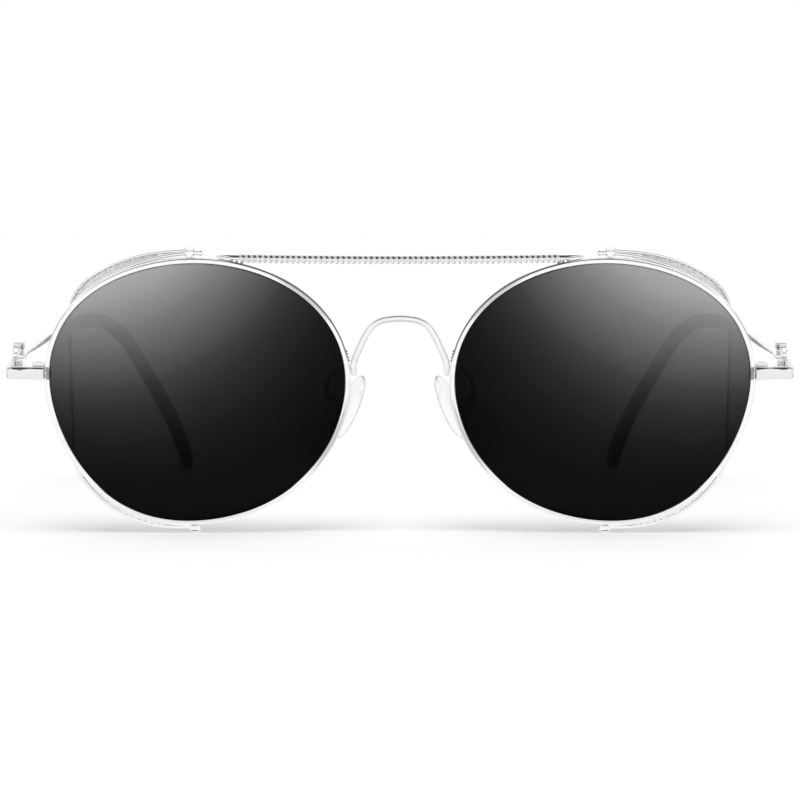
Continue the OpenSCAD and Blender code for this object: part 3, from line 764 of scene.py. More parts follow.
# darker grey: the solder beads' own dull colour, and on the corner seam a painted reflection
DULL_SOLDER_AND_PAINTED_REFLECTION = Metal(name="dull_solder_and_painted_reflection", tint=(0.30, 0.305, 0.315), wear=Wear(0.30))
SCREW_STEEL = Metal(
    name="screw_steel", slot=Slot.SCREW, tint=(0.74, 0.75, 0.77), wear=Wear(0.2)
)
CORNER_SATIN = CornerSatinPaintedLine(name="corner_satin_painted_line", wear=Wear(0.22))
TIP_ACETATE = TipAcetate()
PAD_SILICONE = PadSilicone()


@dataclass(frozen=True)
class LensOutline:
    """The lens's edge in polar form; 0 points to the temple and 90 degrees up."""

    width: float = 54.2 * MM
    height: float = 48.7 * MM
    centre_x: float = 37.6 * MM
    centre_z: float = 1.4 * MM
    crown: float = 0.52 * MM
    shoulder: float = 0.57 * MM
    cheek: float = 0.25 * MM
    lean: float = 0.15 * MM
    square: float = 0.10 * MM
    swirl: float = 0.12 * MM
    peak: float = 0.15 * MM

    @property
    def mean(self) -> float:
        """The mean radius of the outline."""
        return (self.width + self.height) / 4 + self.square

    def radius(self, angle: float) -> float:
        """Return the distance from the lens's middle to its edge at an angle in radians."""
        return (
            self.mean
            + (self.width - self.height) / 4 * math.cos(2 * angle)
            + self.crown * math.sin(angle)
            + self.shoulder * math.sin(3 * angle)
            - self.cheek * math.cos(3 * angle)
            - self.lean * math.sin(2 * angle)
            - self.square * math.cos(4 * angle)
            + self.swirl * math.sin(4 * angle)
            + self.peak * math.sin(5 * angle)
        )

    def at(self, angle: float, r: float, y: float = 0.0) -> Vector:
        """Return the point at an angle and a distance from the lens's middle."""
        return Vector((self.centre_x + r * math.cos(angle), y, self.centre_z + r * math.sin(angle)))

    def point(self, angle: float, out: float, y: float = 0.0) -> Vector:
        """Return a point beyond the lens's edge, at a depth behind the front plane."""
        return self.at(angle, self.radius(angle) + out, y)


@dataclass
class Workshop:
    """What the sub-assemblies work with: the frame's nodes and each material, made once."""

    frame: FrontFrame
    nodes: dict[str, bpy.types.Object]
    group: Tree = field(default_factory=build_wear_group)
    made: dict[str, bpy.types.Material] = field(default_factory=dict)

    def material(self, finish: Finish) -> bpy.types.Material:
        """Return a finish's material, made when it is first asked for."""
        if finish.name not in self.made:
            self.made[finish.name] = finish.build(self.frame, self.group)
        return self.made[finish.name]


@dataclass
class Piece:
    """What every sub-assembly shares: the lens outline, the rim wire and how pieces are dressed."""

    shop: Workshop
    outline: LensOutline = LensOutline()
    rim_width: float = 1.0 * MM
    rim_depth: float = 1.9 * MM
    seat: float = 0.03 * MM

    @property
    def frame(self) -> FrontFrame:
        """The front's frame."""
        return self.shop.frame

    def fit(self, piece: bpy.types.Object, body: str, finish: Finish, *nodes: str) -> None:
        """Dress a piece, let it ride on its body and hide the nodes that it stands for.

        Args:
            piece: The finished mesh.
            body: The body that it rides on.
            finish: Its finish.
            *nodes: The frame's nodes that it replaces.
        """
        piece.data.materials.clear()
        piece.data.materials.append(self.shop.material(finish))
        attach(piece, body)
        if nodes:
            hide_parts(*nodes)
        log.info("%s rides on %s, %d faces", piece.name, body, len(piece.data.polygons))

    def dress(self, node: str, finish: Finish, edge: float) -> None:
        """Give one of the frame's own nodes its finish and rounded edges.

        Args:
            node: The node's name.
            finish: Its finish.
            edge: The width of its rounded edges.
        """
        target = self.shop.nodes[node]
        target.data.materials.clear()
        target.data.materials.append(self.shop.material(finish))
        Shaper.soften(target, edge)
        log.info("%s keeps its own shape", node)

    def build(self) -> None:
        """Build the sub-assembly, which each kind does for itself."""
        raise NotImplementedError


@dataclass
class Eye(Piece):
    """One rim with its lens, its lock and its end piece."""

    rim_corner: float = 0.45 * MM
    rim_lip: float = 0.16 * MM
    groove: float = 0.45 * MM
    groove_half: float = 0.4 * MM
    slit: float = 0.2 * MM
    slit_near: float = math.radians(8.0)
    lens_thickness: float = 1.6 * MM
    lens_radius: float = 177.0 * MM
    lens_inset: float = 0.1 * MM
    lens_bevel: float = 0.12 * MM
    barrel_r: float = 1.3 * MM
    end_reach: float = 7.14 * MM
    end_height: float = 2.3 * MM
    end_thick: float = 1.3 * MM
    end_corner: float = 1.7 * MM
    end_proud: float = 0.3 * MM
    end_gap: float = 0.5 * MM
    seam_thick: float = 0.26 * MM
    seam_from: float = 1.05 * MM
    seam_to: float = 0.45 * MM
    rim_steps: int = 220
    lens_steps: int = 144

    @property
    def slit_angle(self) -> float:
        """The angle of the slit that the lock closes, in radians."""
        rise = self.frame.hinge_z - self.outline.centre_z
        return math.asin(rise / (self.outline.radius(self.slit_near) + self.rim_width))

    @property
    def end_start(self) -> float:
        """Where the end piece starts, beside the rim."""
        return self.frame.hinge_x + self.barrel_r - self.end_reach

    @property
    def end_front(self) -> float:
        """How far back the end piece's front face lies."""
        return -self.rim_depth / 2 - self.end_proud

    def rim_profile(self) -> list[tuple[float, float]]:
        """Return the rim wire's section as distances outwards and backwards."""
        half, corner, lip = self.rim_depth / 2, self.rim_corner, self.rim_lip
        arc = [
            (self.rim_width - corner + corner * math.sin(a), -half + corner - corner * math.cos(a))
            for a in spread(0.0, math.pi / 2, 4)
        ]
        near = [
            (lip, half),
            (0.04 * MM, half - lip * 0.7),
            (0.0, self.groove_half + 0.12 * MM),
            (0.05 * MM, self.groove_half),
            (self.groove, self.groove_half * 0.55),
        ]
        outer = arc + [(x, -y) for x, y in reversed(arc)]
        return outer + near + [(x, -y) for x, y in reversed(near)]

    def build_rim(self, side: Side) -> None:
        """Sweep the rim round the lens from one side of its slit to the other."""
        profile = self.rim_profile()
        half_slit = self.slit / self.outline.width
        first = self.slit_angle + half_slit
        last = first + math.tau - 2 * half_slit
        rings = [
            self.frame.place_all([self.outline.point(angle, out, y) for out, y in profile], side)
            for angle in spread(first, last, self.rim_steps)
        ]
        rim = Shaper.loft(side.of("rim_wire"), rings, smooth_deg=35.0)
        finish = RimPlatingPaintedReflection(name=f"rim_plating_{side.label}", side=side, wear=Wear(0.09))
        self.fit(rim, "front", finish, side.of("rim"))

    def sag(self, r: float) -> float:
        """Return how far the lens's curve falls back at a distance from its middle."""
        return self.lens_radius - math.sqrt(self.lens_radius**2 - r**2)

    def lens_ring(self, share: float, y_shift: float, out: float, bulge: bool = True) -> Ring:
        """Return one ring of the lens surface.

        Args:
            share: The ring's share of the outline's radius.
            y_shift: How far the surface lies behind the middle surface.
            out: How far the outline is moved outwards.
            bulge: Whether the ring follows the lens's curve.

        Returns:
            The ring's points in the front frame.
        """
        ring = []
        for angle in turns(self.lens_steps):
            r = (self.outline.radius(angle) + out) * share
            curve = self.sag(r) - self.sag(self.outline.mean) if bulge else 0.0
            ring.append(self.outline.at(angle, r, curve + y_shift))
        return ring

    def build_lens(self, side: Side) -> None:
        """Build the lens: two curved faces, with a bevel round its edge that sits in the groove."""
        half, inset = self.lens_thickness / 2, self.lens_inset
        shares = [0.004, 0.08, 0.2, 0.34, 0.48, 0.62, 0.75, 0.86, 0.94, 0.985, 1.0]
        rings = [self.lens_ring(share, -half, -inset) for share in shares]
        rings += [
            self.lens_ring(1.0, y, self.groove - inset, bulge=False)
            for y in (-self.lens_bevel, self.lens_bevel)
        ]
        rings += [self.lens_ring(share, half, -inset) for share in reversed(shares)]
        placed = [self.frame.place_all(ring, side) for ring in rings]
        lens = Shaper.loft(side.of("smoke_lens"), placed, smooth_deg=30.0)
        finish = SmokeLens(name=f"smoke_lens_{side.label}", side=side)
        self.fit(lens, "front", finish, side.of("lens"))

    def build_endpiece(self, side: Side) -> None:
        """Build the end piece: a strip bent round the corner, with rounded edges."""
        out = self.frame.hinge_x + self.barrel_r
        corner, middle = self.end_corner, self.end_thick / 2
        bend = corner - middle
        leg_start = self.end_front + corner
        leg_end = self.frame.hinge_back - self.barrel_r - self.end_gap
        plan = [(x, self.end_front + middle) for x in spread(self.end_start, out - corner, 6)]
        plan += [
            (out - corner + bend * math.sin(a), leg_start - bend * math.cos(a))
            for a in spread(0.0, math.pi / 2, 10)[1:]
        ]
        plan += [(out - middle, y) for y in spread(leg_start, leg_end, 6)[1:]]
        path = [Vector((x, y, self.frame.hinge_z)) for x, y in plan]
        section = Section(self.end_height, self.end_thick, square=3.8, count=48)
        rings = []
        for i, point in enumerate(path):
            ahead = path[min(i + 1, len(path) - 1)] - path[max(i - 1, 0)]
            rings.append(self.frame.place_all(section.ring(point, ahead), side))
        strip = Shaper.loft(side.of("corner_strip"), rings, smooth_deg=45.0)
        self.fit(strip, "front", CORNER_SATIN, side.of("endpiece"))

    def build_seam(self, side: Side) -> None:
        """Lay the dull soldered seam between the end piece and the rim; its darker grey is a
        painted reflection.
        """
        section = Section(self.end_height, self.seam_thick, square=6.0, count=24)
        rings = []
        for x in spread(self.end_start - self.seam_from, self.end_start - self.seam_to, 3):
            centre = Vector((x, self.end_front + self.seam_thick / 2, self.frame.hinge_z))
            rings.append(self.frame.place_all(section.ring(centre, ACROSS), side))
        seam = Shaper.loft(side.of("corner_seam"), rings, smooth_deg=45.0)
        self.fit(seam, "front", DULL_SOLDER_AND_PAINTED_REFLECTION)

    def build(self) -> None:
        """Build both eyes."""
        for side in Side:
            self.build_rim(side)
            self.build_lens(side)
            self.build_endpiece(side)
            self.build_seam(side)
            self.dress(side.of("rim_lock"), PLATING, 0.15 * MM)
            self.dress(side.of("rim_screw"), SCREW_STEEL, 0.04 * MM)
            self.dress(side.of("front_hinge"), PLATING, 0.1 * MM)
            self.dress(side.of("hinge_screw"), SCREW_STEEL, 0.06 * MM)


@dataclass
class Bridge(Piece):
    """The saddle bridge, and the brow bar with its coil."""

    wire: float = 0.65 * MM
    rise: float = 14.1 * MM
    crown_r: float = 14.0 * MM
    shoulder_r: float = 4.5 * MM
    leg_r: float = 16.0 * MM
    crown_turn: float = math.radians(12.0)
    shoulder_turn: float = math.radians(56.0)
    leg_turn: float = math.radians(74.0)
    leg_share: float = 0.85
    foot_from: float = 168.5
    foot_to: float = 173.5
    foot_share: float = 0.72
    foot_growth: float = 0.09
    brow_angle: float = math.radians(104.0)
    brow_sag: float = 0.3 * MM
    brow_inset: float = 0.4 * MM
    rod: float = 0.56 * MM
    tongue_from: float = 30.1 * MM
    tongue_to: float = 33.6 * MM
    tongue_height: float = 0.80 * MM
    tongue_width: float = 1.6 * MM
    tongue_lift: float = 0.33 * MM
    tongue_slope: float = 0.12
    flatten_share: float = 0.35
    rim_span: float = 27.0 * MM
    coil_turns: int = 58
    coil_pitch: float = 1.015 * MM
    coil_outer: float = 0.83 * MM
    coil_wire: float = 0.29 * MM
    coil_steps: int = 22
    core_r: float = 0.24 * MM
    core_lift: float = 0.40 * MM
    core_tail: float = 3.4 * MM
    tail_share: float = 0.62
    bead_r: float = 0.24 * MM
    bead_depth: float = 0.8
    bead_uneven: float = 0.08
    # Each row has its beads' angles in degrees, and how far out and back they lie
    bead_rows: tuple = (
        ((164.0, 165.2, 166.4, 167.6), 0.02 * MM, -0.3 * MM),
        ((103.5, 105.5, 107.5, 109.5), 0.12 * MM, -0.2 * MM),
    )

    def half_path(self) -> Ring:
        """Return the bridge's middle line from its top to its left foot, in the front frame."""
        leg_stop = blend(self.shoulder_turn, self.leg_turn, self.leg_share)
        bends = (
            (self.crown_r, 0.0, self.crown_turn, 6),
            (self.shoulder_r, self.crown_turn, self.shoulder_turn, 12),
            (self.leg_r, self.shoulder_turn, leg_stop, 8),
        )
        points = [Vector((0.0, 0.0, self.outline.centre_z + self.rise))]
        for r, start, stop, count in bends:
            base = points[-1]
            sine, cosine = math.sin(start), math.cos(start)
            points += [
                base + Vector((math.sin(a) - sine, 0.0, math.cos(a) - cosine)) * r
                for a in spread(start, stop, count)[1:]
            ]
        gap = self.rim_width + self.wire + self.seat
        feet = spread(self.foot_from, self.foot_to, 5)
        return points + [self.outline.point(math.radians(a), gap) for a in feet]

    def build_bridge(self) -> None:
        """Sweep the bridge wire, its feet thinned out along the rims."""
        half = self.half_path()
        path = [Vector((-p.x, p.y, p.z)) for p in reversed(half[1:])] + half
        last = len(path) - 1
        for _ in range(2):
            inner = [(path[i - 1] + path[i] * 2 + path[i + 1]) / 4 for i in range(1, last)]
            path = [path[0], *inner, path[-1]]
        shares = [
            min(1.0, self.foot_share + self.foot_growth * min(i, last - i))
            for i in range(len(path))
        ]
        placed = self.frame.place_all(path)
        bridge = Shaper.tubes("saddle_bridge", [placed], self.wire, sides=20, radii=[shares])
        self.fit(bridge, "front", BRIDGE_SATIN, "bridge")

    def bar_height(self, x: float) -> float:
        """Return the bar's height at a distance from the middle."""
        end = self.outline.point(self.brow_angle, self.rim_width + self.brow_inset)
        return end.z - self.brow_sag * (1 - (x / (end.x - self.brow_inset)) ** 2)

    def build_bar(self) -> None:
        """Build the brow bar: a rod that flattens into a tongue on the top of each rim."""
        rings = []
        for x in spread(-self.tongue_to, self.tongue_to, 120):
            reach = (abs(x) - self.tongue_from) / (self.tongue_to - self.tongue_from)
            left = min(1.0, 1.0 - reach)
            flat = ease((1.0 - left) / self.flatten_share)
            across = (abs(x) - self.outline.centre_x) / self.rim_span
            angle = math.acos(min(1.0, max(-1.0, across)))
            on_rim = self.outline.point(angle, self.rim_width + self.seat + self.tongue_lift).z
            height = blend(self.rod, self.tongue_height, flat) * min(1.0, 0.45 + 1.6 * left)
            width = blend(self.rod, self.tongue_width, flat) * min(1.0, 0.14 + 1.7 * left)
            centre = Vector((x, 0.0, blend(self.bar_height(x), on_rim, flat)))
            along = Vector((1.0, 0.0, math.copysign(self.tongue_slope, x) * flat))
            ring = Section(height, width, square=2.6, count=16).ring(centre, along)
            rings.append(self.frame.place_all(ring))
        bar = Shaper.loft("brow_rod", rings, smooth_deg=50.0)
        self.fit(bar, "front", PLATING, "brow_bar")

    def build_coil(self) -> None:
        """Wind the coil round the brow bar as one wire, with a shaded core behind its turns."""
        half = self.coil_turns * self.coil_pitch / 2
        reach = half + self.core_tail
        stations = spread(-reach, reach, 60)
        core = [Vector((x, 0.0, self.bar_height(x) + self.core_lift)) for x in stations]
        shares = [1.0 if abs(x) < half else self.tail_share for x in stations]
        placed = self.frame.place_all(core)
        shade = Shaper.tubes("winding_core", [placed], self.core_r, sides=12, radii=[shares])
        self.fit(shade, "front", WINDING_SHADOW)
        mean = self.coil_outer - self.coil_wire
        path = []
        for i in range(self.coil_turns * self.coil_steps + 1):
            turn = i / self.coil_steps
            x, angle = self.coil_pitch * turn - half, math.tau * turn
            z = self.bar_height(x) + mean * math.sin(angle)
            path.append(self.frame.place(Vector((x, mean * math.cos(angle), z))))
        coil = Shaper.tubes("brow_winding", [path], self.coil_wire, sides=12)
        self.fit(coil, "front", COIL_WIRE, "brow_coil")

    def build_solder(self) -> None:
        """Lay the solder beads above the bridge's feet and under the ends of the brow bar."""
        for side in Side:
            beads = []
            for degrees, out, y in self.bead_rows:
                for a in degrees:
                    spot = self.outline.point(math.radians(a), self.rim_width + out, y)
                    height = 1.0 - self.bead_uneven * (len(beads) % 3)
                    squash = Vector((1.0, self.bead_depth, height))
                    beads.append(Shaper.bead(self.frame.place(spot, side), self.bead_r, squash))
            whole = Shaper.join(side.of("solder_beads"), *beads)
            Shaper.smooth(whole, 60.0)
            self.fit(whole, "front", DULL_SOLDER_AND_PAINTED_REFLECTION)

    def build(self) -> None:
        """Build the bridge, the bar, the coil and their solder."""
        self.build_bridge()
        self.build_bar()
        self.build_coil()
        self.build_solder()


@dataclass
class Temple(Piece):
    """A temple arm and its tip, in a frame at the hinge that slopes down towards the ear."""

    slope: float = math.radians(8.5)
    roll: float = math.radians(70.0)
    side_shift: float = -0.2 * MM
    lift: float = 1.2 * MM
    length: float = 145.0 * MM
    straight: float = 88.0 * MM
    bend_r: float = 20.0 * MM
    drop: float = math.radians(49.0)
    bow: float = 21.6 * MM
    bow_start: float = 74.0 * MM
    bow_length: float = 60.0 * MM
    probe: float = 0.2 * MM
    start: float = 1.65 * MM
    arm_height: float = 1.7 * MM
    arm_thick: float = 1.2 * MM
    sleeve_length: float = 63.0 * MM
    neck_height: float = 2.9 * MM
    end_height: float = 7.0 * MM
    sleeve_thick: float = 3.0 * MM
    sleeve_wall: float = 0.2 * MM
    sleeve_lap: float = 0.5 * MM
    swell_end: float = 5.0 * MM
    swell_power: float = 2.2
    round_stop: float = math.radians(86.0)
    round_power: float = 0.55
    nose_share: float = 0.55
    nose_run: float = 0.8 * MM
    lip_share: float = 0.9
    lip_run: float = 0.5 * MM

    @property
    def sleeve_start(self) -> float:
        """Where the sleeve starts, along the middle line."""
        return self.length - self.sleeve_length

    def bent(self, s: float) -> tuple[float, float]:
        """Return how far back and how far down a place on the middle line lies.

        Args:
            s: The distance from the hinge along the middle line.

        Returns:
            Its place along the straight part's direction, and square to it.
        """
        if s < self.straight:
            return s, 0.0
        turned = min((s - self.straight) / self.bend_r, self.drop)
        rest = max(0.0, s - self.straight - self.bend_r * self.drop)
        back = self.straight + self.bend_r * math.sin(turned) + rest * math.cos(self.drop)
        return back, -self.bend_r * (1 - math.cos(turned)) - rest * math.sin(self.drop)

    def point(self, s: float) -> Vector:
        """Return the middle line's point at a distance from the hinge, in the front frame."""
        back, fall = self.bent(s)
        rise = self.lift + fall
        inwards = self.bow * ease((back - self.bow_start) / self.bow_length)
        return Vector((
            self.frame.hinge_x + self.side_shift - inwards,
            self.frame.hinge_back + back * math.cos(self.slope) + rise * math.sin(self.slope),
            self.frame.hinge_z - back * math.sin(self.slope) + rise * math.cos(self.slope),
        ))

    def ring(self, s: float, section: Section, side: Side) -> Ring:
        """Return a section of the temple in the floor's frame."""
        ahead = self.point(s + self.probe) - self.point(s - self.probe)
        tall = Vector((0.0, math.sin(self.roll), math.cos(self.roll)))
        up = Matrix.Rotation(-self.slope, 3, "X") @ tall
        return self.frame.place_all(section.ring(self.point(s), ahead, up), side)

    def build_arm(self, side: Side) -> None:
        """Build the flat metal arm, tapered from its sleeve to the hinge."""
        rings = []
        for s in spread(self.start, self.sleeve_start + self.sleeve_lap, 70):
            share = min(1.0, s / self.sleeve_start)
            height = blend(self.arm_height, self.neck_height - 2 * self.sleeve_wall, share)
            end = min(1.0, self.nose_share + (s - self.start) / self.nose_run)
            section = Section(height * end, self.arm_thick * end, square=4.0, count=24)
            rings.append(self.ring(s, section, side))
        arm = Shaper.loft(side.of("arm"), rings, smooth_deg=45.0)
        self.fit(arm, side.of("temple_arm"), PLATING, side.of("temple"))

    def build_tip(self, side: Side) -> None:
        """Build the acetate sleeve, swelling to its rounded end."""
        start, end_r, thick = self.sleeve_start, self.end_height / 2, self.sleeve_thick
        sections = []
        for s in spread(start, self.length - end_r, 72):
            along = min(1.0, (s - start) / (self.sleeve_length - self.swell_end))
            height = blend(self.neck_height, self.end_height, along**self.swell_power)
            lip = min(1.0, blend(self.lip_share, 1.0, math.sqrt((s - start) / self.lip_run)))
            sections.append((s, height * lip, thick * lip))
        for a in spread(0.0, self.round_stop, 14)[1:]:
            s = self.length - end_r + end_r * math.sin(a)
            shrink = math.cos(a)
            sections.append((s, self.end_height * shrink, thick * shrink**self.round_power))
        rings = [
            self.ring(s, Section(height, width, square=2.5, count=32), side)
            for s, height, width in sections
        ]
        tip = Shaper.loft(side.of("ear_tip"), rings, smooth_deg=60.0)
        self.fit(tip, side.of("temple_arm"), TIP_ACETATE, side.of("temple_tip"))

    def build(self) -> None:
        """Build both temples."""
        for side in Side:
            self.build_arm(side)
            self.build_tip(side)
            self.dress(side.of("temple_hinge"), PLATING, 0.1 * MM)


@dataclass
class NosePads(Piece):
    """The nose pads with their arms, boxes and screws."""

    spacing: float = 19.5 * MM
    back: float = 8.5 * MM
    drop: float = 4.9 * MM
    frontal: float = math.radians(27.0)
    splay: float = math.radians(20.0)
    length: float = 13.0 * MM
    width: float = 7.0 * MM
    thick: float = 2.3 * MM
    narrow: float = 0.16
    box_far: float = 4.2 * MM
    wire: float = 0.45 * MM
    stub: float = 0.3 * MM
    foot_angle: float = math.radians(172.0)
    foot_out: float = 0.5 * MM
    # Each pair is a layer's place across the thickness and its share of the outline
    layers: Stops = (
        (-0.50, 0.02), (-0.498, 0.3), (-0.48, 0.58), (-0.43, 0.78), (-0.34, 0.9),
        (-0.2, 0.975), (0.0, 1.0), (0.16, 0.97), (0.28, 0.89), (0.36, 0.78), (0.41, 0.62),
        (0.42, 0.3), (0.42, 0.02),
    )

    def at_pad(self, x: float, y: float, z: float) -> Vector:
        """Return a point of the pad's own frame in the front frame."""
        turn = Matrix.Rotation(-self.splay, 3, "Z") @ Matrix.Rotation(-self.frontal, 3, "Y")
        centre = Vector((self.spacing / 2, self.back, self.outline.centre_z - self.drop))
        return turn @ Vector((x, y, z)) + centre

    def build_pad(self, side: Side) -> None:
        """Build the drop-shaped pad from layers across its thickness."""
        rings = []
        for place, share in self.layers:
            ring = [
                self.at_pad(
                    place * self.thick,
                    self.width / 2 * share * math.cos(a) * (1 - self.narrow * math.sin(a)),
                    self.length / 2 * share * math.sin(a),
                )
                for a in turns(48)
            ]
            rings.append(self.frame.place_all(ring, side))
        pad = Shaper.loft(side.of("soft_pad"), rings, smooth_deg=60.0)
        self.fit(pad, side.of("pad"), PAD_SILICONE, side.of("nose_pad"))

    def build_arm(self, side: Side) -> None:
        """Sweep the pad arm from the back of the rim to the pad box."""
        foot = self.outline.point(self.foot_angle, self.foot_out, self.rim_depth / 2 + self.seat)
        first = foot + BACK * self.stub
        leave = self.at_pad(self.box_far + 2.6 * MM, 0.0, 1.5 * MM)
        last = self.at_pad(self.box_far + self.seat + self.stub, 0.0, 0.0)
        end = self.at_pad(self.box_far + self.seat, 0.0, 0.0)
        controls = [first, first + Vector((1.6, 2.9, 2.0)) * MM, leave, last]
        path = [foot, *(bezier(controls, t) for t in spread(0.0, 1.0, 40)), end]
        placed = self.frame.place_all(path, side)
        arm = Shaper.tubes(side.of("pad_wire"), [placed], self.wire, sides=16)
        self.fit(arm, "front", PLATING, side.of("pad_arm"))

    def build(self) -> None:
        """Build both pads."""
        for side in Side:
            self.build_pad(side)
            self.build_arm(side)
            self.dress(side.of("pad_box"), PLATING, 0.12 * MM)
            self.dress(side.of("pad_screw"), SCREW_STEEL, 0.05 * MM)
            self.dress(side.of("pad_core"), PAD_SILICONE, 0.08 * MM)


@dataclass(frozen=True)
class HoopTurn:
    """How a shield's rear hoop turns from its straight back to a pivot.

    The dip is a length, and the others are shares of half the hoop's height or of its reach.
    """

    straight: float
    lead: float
    dip: float
    corner: float


@dataclass
class SideShield(Piece):
    """A side shield: two hoops between collars on the pivot pins, with woven mesh between them."""

    depth: float = 8.8 * MM
    front_inset: float = 0.55 * MM
    rear_inset: float = 3.65 * MM
    front_gap: float = 0.45 * MM
    wire: float = 0.35 * MM
    pivot_out: float = 0.8 * MM
    pivot_y: float = 0.3 * MM
    bore: float = 0.45 * MM
    collar_wall: float = 0.5 * MM
    collar_h: float = 1.1 * MM
    low_collar_h: float = 0.9 * MM
    collar_lift: float = 0.2 * MM
    collar_edge: float = 0.12 * MM
    collar_cut: float = 0.035 * MM
    collar_steps: int = 40
    hoop_bite: float = 0.1 * MM
    top_turn: HoopTurn = HoopTurn(0.47, 0.55, 0.95 * MM, 0.754)
    low_turn: HoopTurn = HoopTurn(0.51, 0.65, 3.2 * MM, 0.715)
    tail_r: float = 0.6 * MM
    tail_reach: float = 1.4 * MM
    # Each pair is a place along the tail in mm, and a share of its radius
    tail: Stops = (
        (0.0, 0.55), (0.12, 0.86), (0.35, 1.0), (0.58, 0.86), (0.72, 0.7), (0.8, 0.66), (1.7, 0.66),
    )
    net_wire: float = 0.075 * MM
    net_inset: float = 0.6
    net_count: int = 62
    net_end: float = 0.86
    net_slant: float = 0.12
    net_waves: int = 6

    @cached_property
    def top_angle(self) -> float:
        """The upper pivot's angle on the outline."""
        return math.atan2(self.outline.mean, self.pivot_out)

    @property
    def pivot_x(self) -> float:
        """The pivot line's distance from the front's middle."""
        return self.outline.centre_x + self.pivot_out

    @cached_property
    def collar_top(self) -> float:
        """The height of the upper collar's lower face."""
        return self.outline.point(self.top_angle, self.rim_width).z + self.seat + self.collar_lift

    @cached_property
    def collar_bottom(self) -> float:
        """The height of the lower collar's upper face."""
        return self.outline.point(-self.top_angle, self.rim_width).z - self.seat - self.collar_lift

    @property
    def collar_r(self) -> float:
        """The collars' outer radius."""
        return self.bore + self.collar_wall

    @property
    def pole_y(self) -> float:
        """How far back the hoops meet the collars."""
        return self.pivot_y + self.collar_r - self.hoop_bite

    @cached_property
    def rear_reach(self) -> float:
        """How far the rear hoop's back lies beyond the pivot line."""
        return self.outline.radius(0.0) + self.rim_width - self.pivot_out - self.rear_inset

    @cached_property
    def rear_ends(self) -> tuple[float, float]:
        """The heights of the rear hoop's two ends."""
        return (
            self.collar_bottom - self.low_collar_h + self.wire,
            self.collar_top + self.collar_h - self.wire,
        )

    def front(self, u: float) -> Vector:
        """Return the front hoop's point; u runs from -1 at the lower pivot to 1 at the upper."""
        at_pole = self.rim_width + self.seat + self.collar_lift + self.wire
        out = blend(self.rim_width - self.front_inset, at_pole, u * u)
        front_y = self.rim_depth / 2 + self.wire + self.front_gap
        return self.outline.point(self.top_angle * u, out, blend(front_y, self.pole_y, abs(u) ** 8))

    def rear(self, u: float) -> Vector:
        """Return the rear hoop's point; u runs from -1 at the lower pivot to 1 at the upper."""
        low, high = self.rear_ends
        mid, half = (low + high) / 2, (high - low) / 2
        out = self.pivot_x + self.rear_reach
        turn, sign, pole = (self.top_turn, 1, high) if u > 0 else (self.low_turn, -1, low)
        t = (1 - abs(u)) / (1 - turn.straight)
        if t >= 1:
            flat = Vector((out, mid + u * half))
        else:
            lead_x = self.pivot_x + turn.lead * self.rear_reach
            controls = [
                Vector((self.pivot_x, pole)),
                Vector((lead_x, pole - turn.dip)),
                Vector((out, mid + sign * turn.corner * half)),
                Vector((out, mid + sign * turn.straight * half)),
            ]
            flat = bezier(controls, t)
        return Vector((flat.x, blend(self.depth, self.pole_y, abs(u) ** 4), flat.y))

    def turn_angle(self, point: Vector) -> float:
        """Return a hoop point's angle about the middle of the line between the pivots."""
        low, high = self.rear_ends
        return math.atan2(point.z - (low + high) / 2, point.x - self.pivot_x)

    def rear_match(self, u: float) -> float:
        """Return the rear hoop's u at the same angle as the front hoop's."""
        wanted = self.turn_angle(self.front(u))
        low, high = -1.0, 1.0
        for _ in range(24):
            middle = (low + high) / 2
            if self.turn_angle(self.rear(middle)) < wanted:
                low = middle
            else:
                high = middle
        return (low + high) / 2

    def band(self, u: float, share: float, lift: float = 0.0) -> Vector:
        """Return a point on the mesh.

        Args:
            u: The place along the hoops.
            share: The place across, from the front hoop to the rear one.
            lift: How far the point stands off the mesh's middle surface.

        Returns:
            The point in the front frame.
        """
        first, last = self.front(u), self.rear(self.rear_match(u))
        across = (last - first).normalized()
        along = self.front(u + 0.01) - self.front(u - 0.01)
        out = across.cross(along).normalized()
        edge = self.wire * self.net_inset
        return blend(first + across * edge, last - across * edge, share) + out * lift

    def collar(self, side: Side, name: str, base: float, height: float) -> bpy.types.Object:
        """Turn one collar: a bored ring with rounded edges.

        Args:
            side: The side it is on.
            name: The new piece's name.
            base: The height of its lower face.
            height: Its height.

        Returns:
            The collar.
        """
        r, edge, cut = self.collar_r, self.collar_edge, self.collar_cut
        section = [
            (self.bore, 0.0), (r - edge, 0.0), (r - cut, cut), (r, edge), (r, height - edge),
            (r - cut, height - cut), (r - edge, height), (self.bore, height),
        ]
        rings = []
        for radius, z in section:
            ring = [
                Vector((
                    self.pivot_x + radius * math.cos(a),
                    self.pivot_y + radius * math.sin(a),
                    base + z,
                ))
                for a in turns(self.collar_steps)
            ]
            rings.append(self.frame.place_all(ring, side))
        return Shaper.loft(name, rings, bored=True)

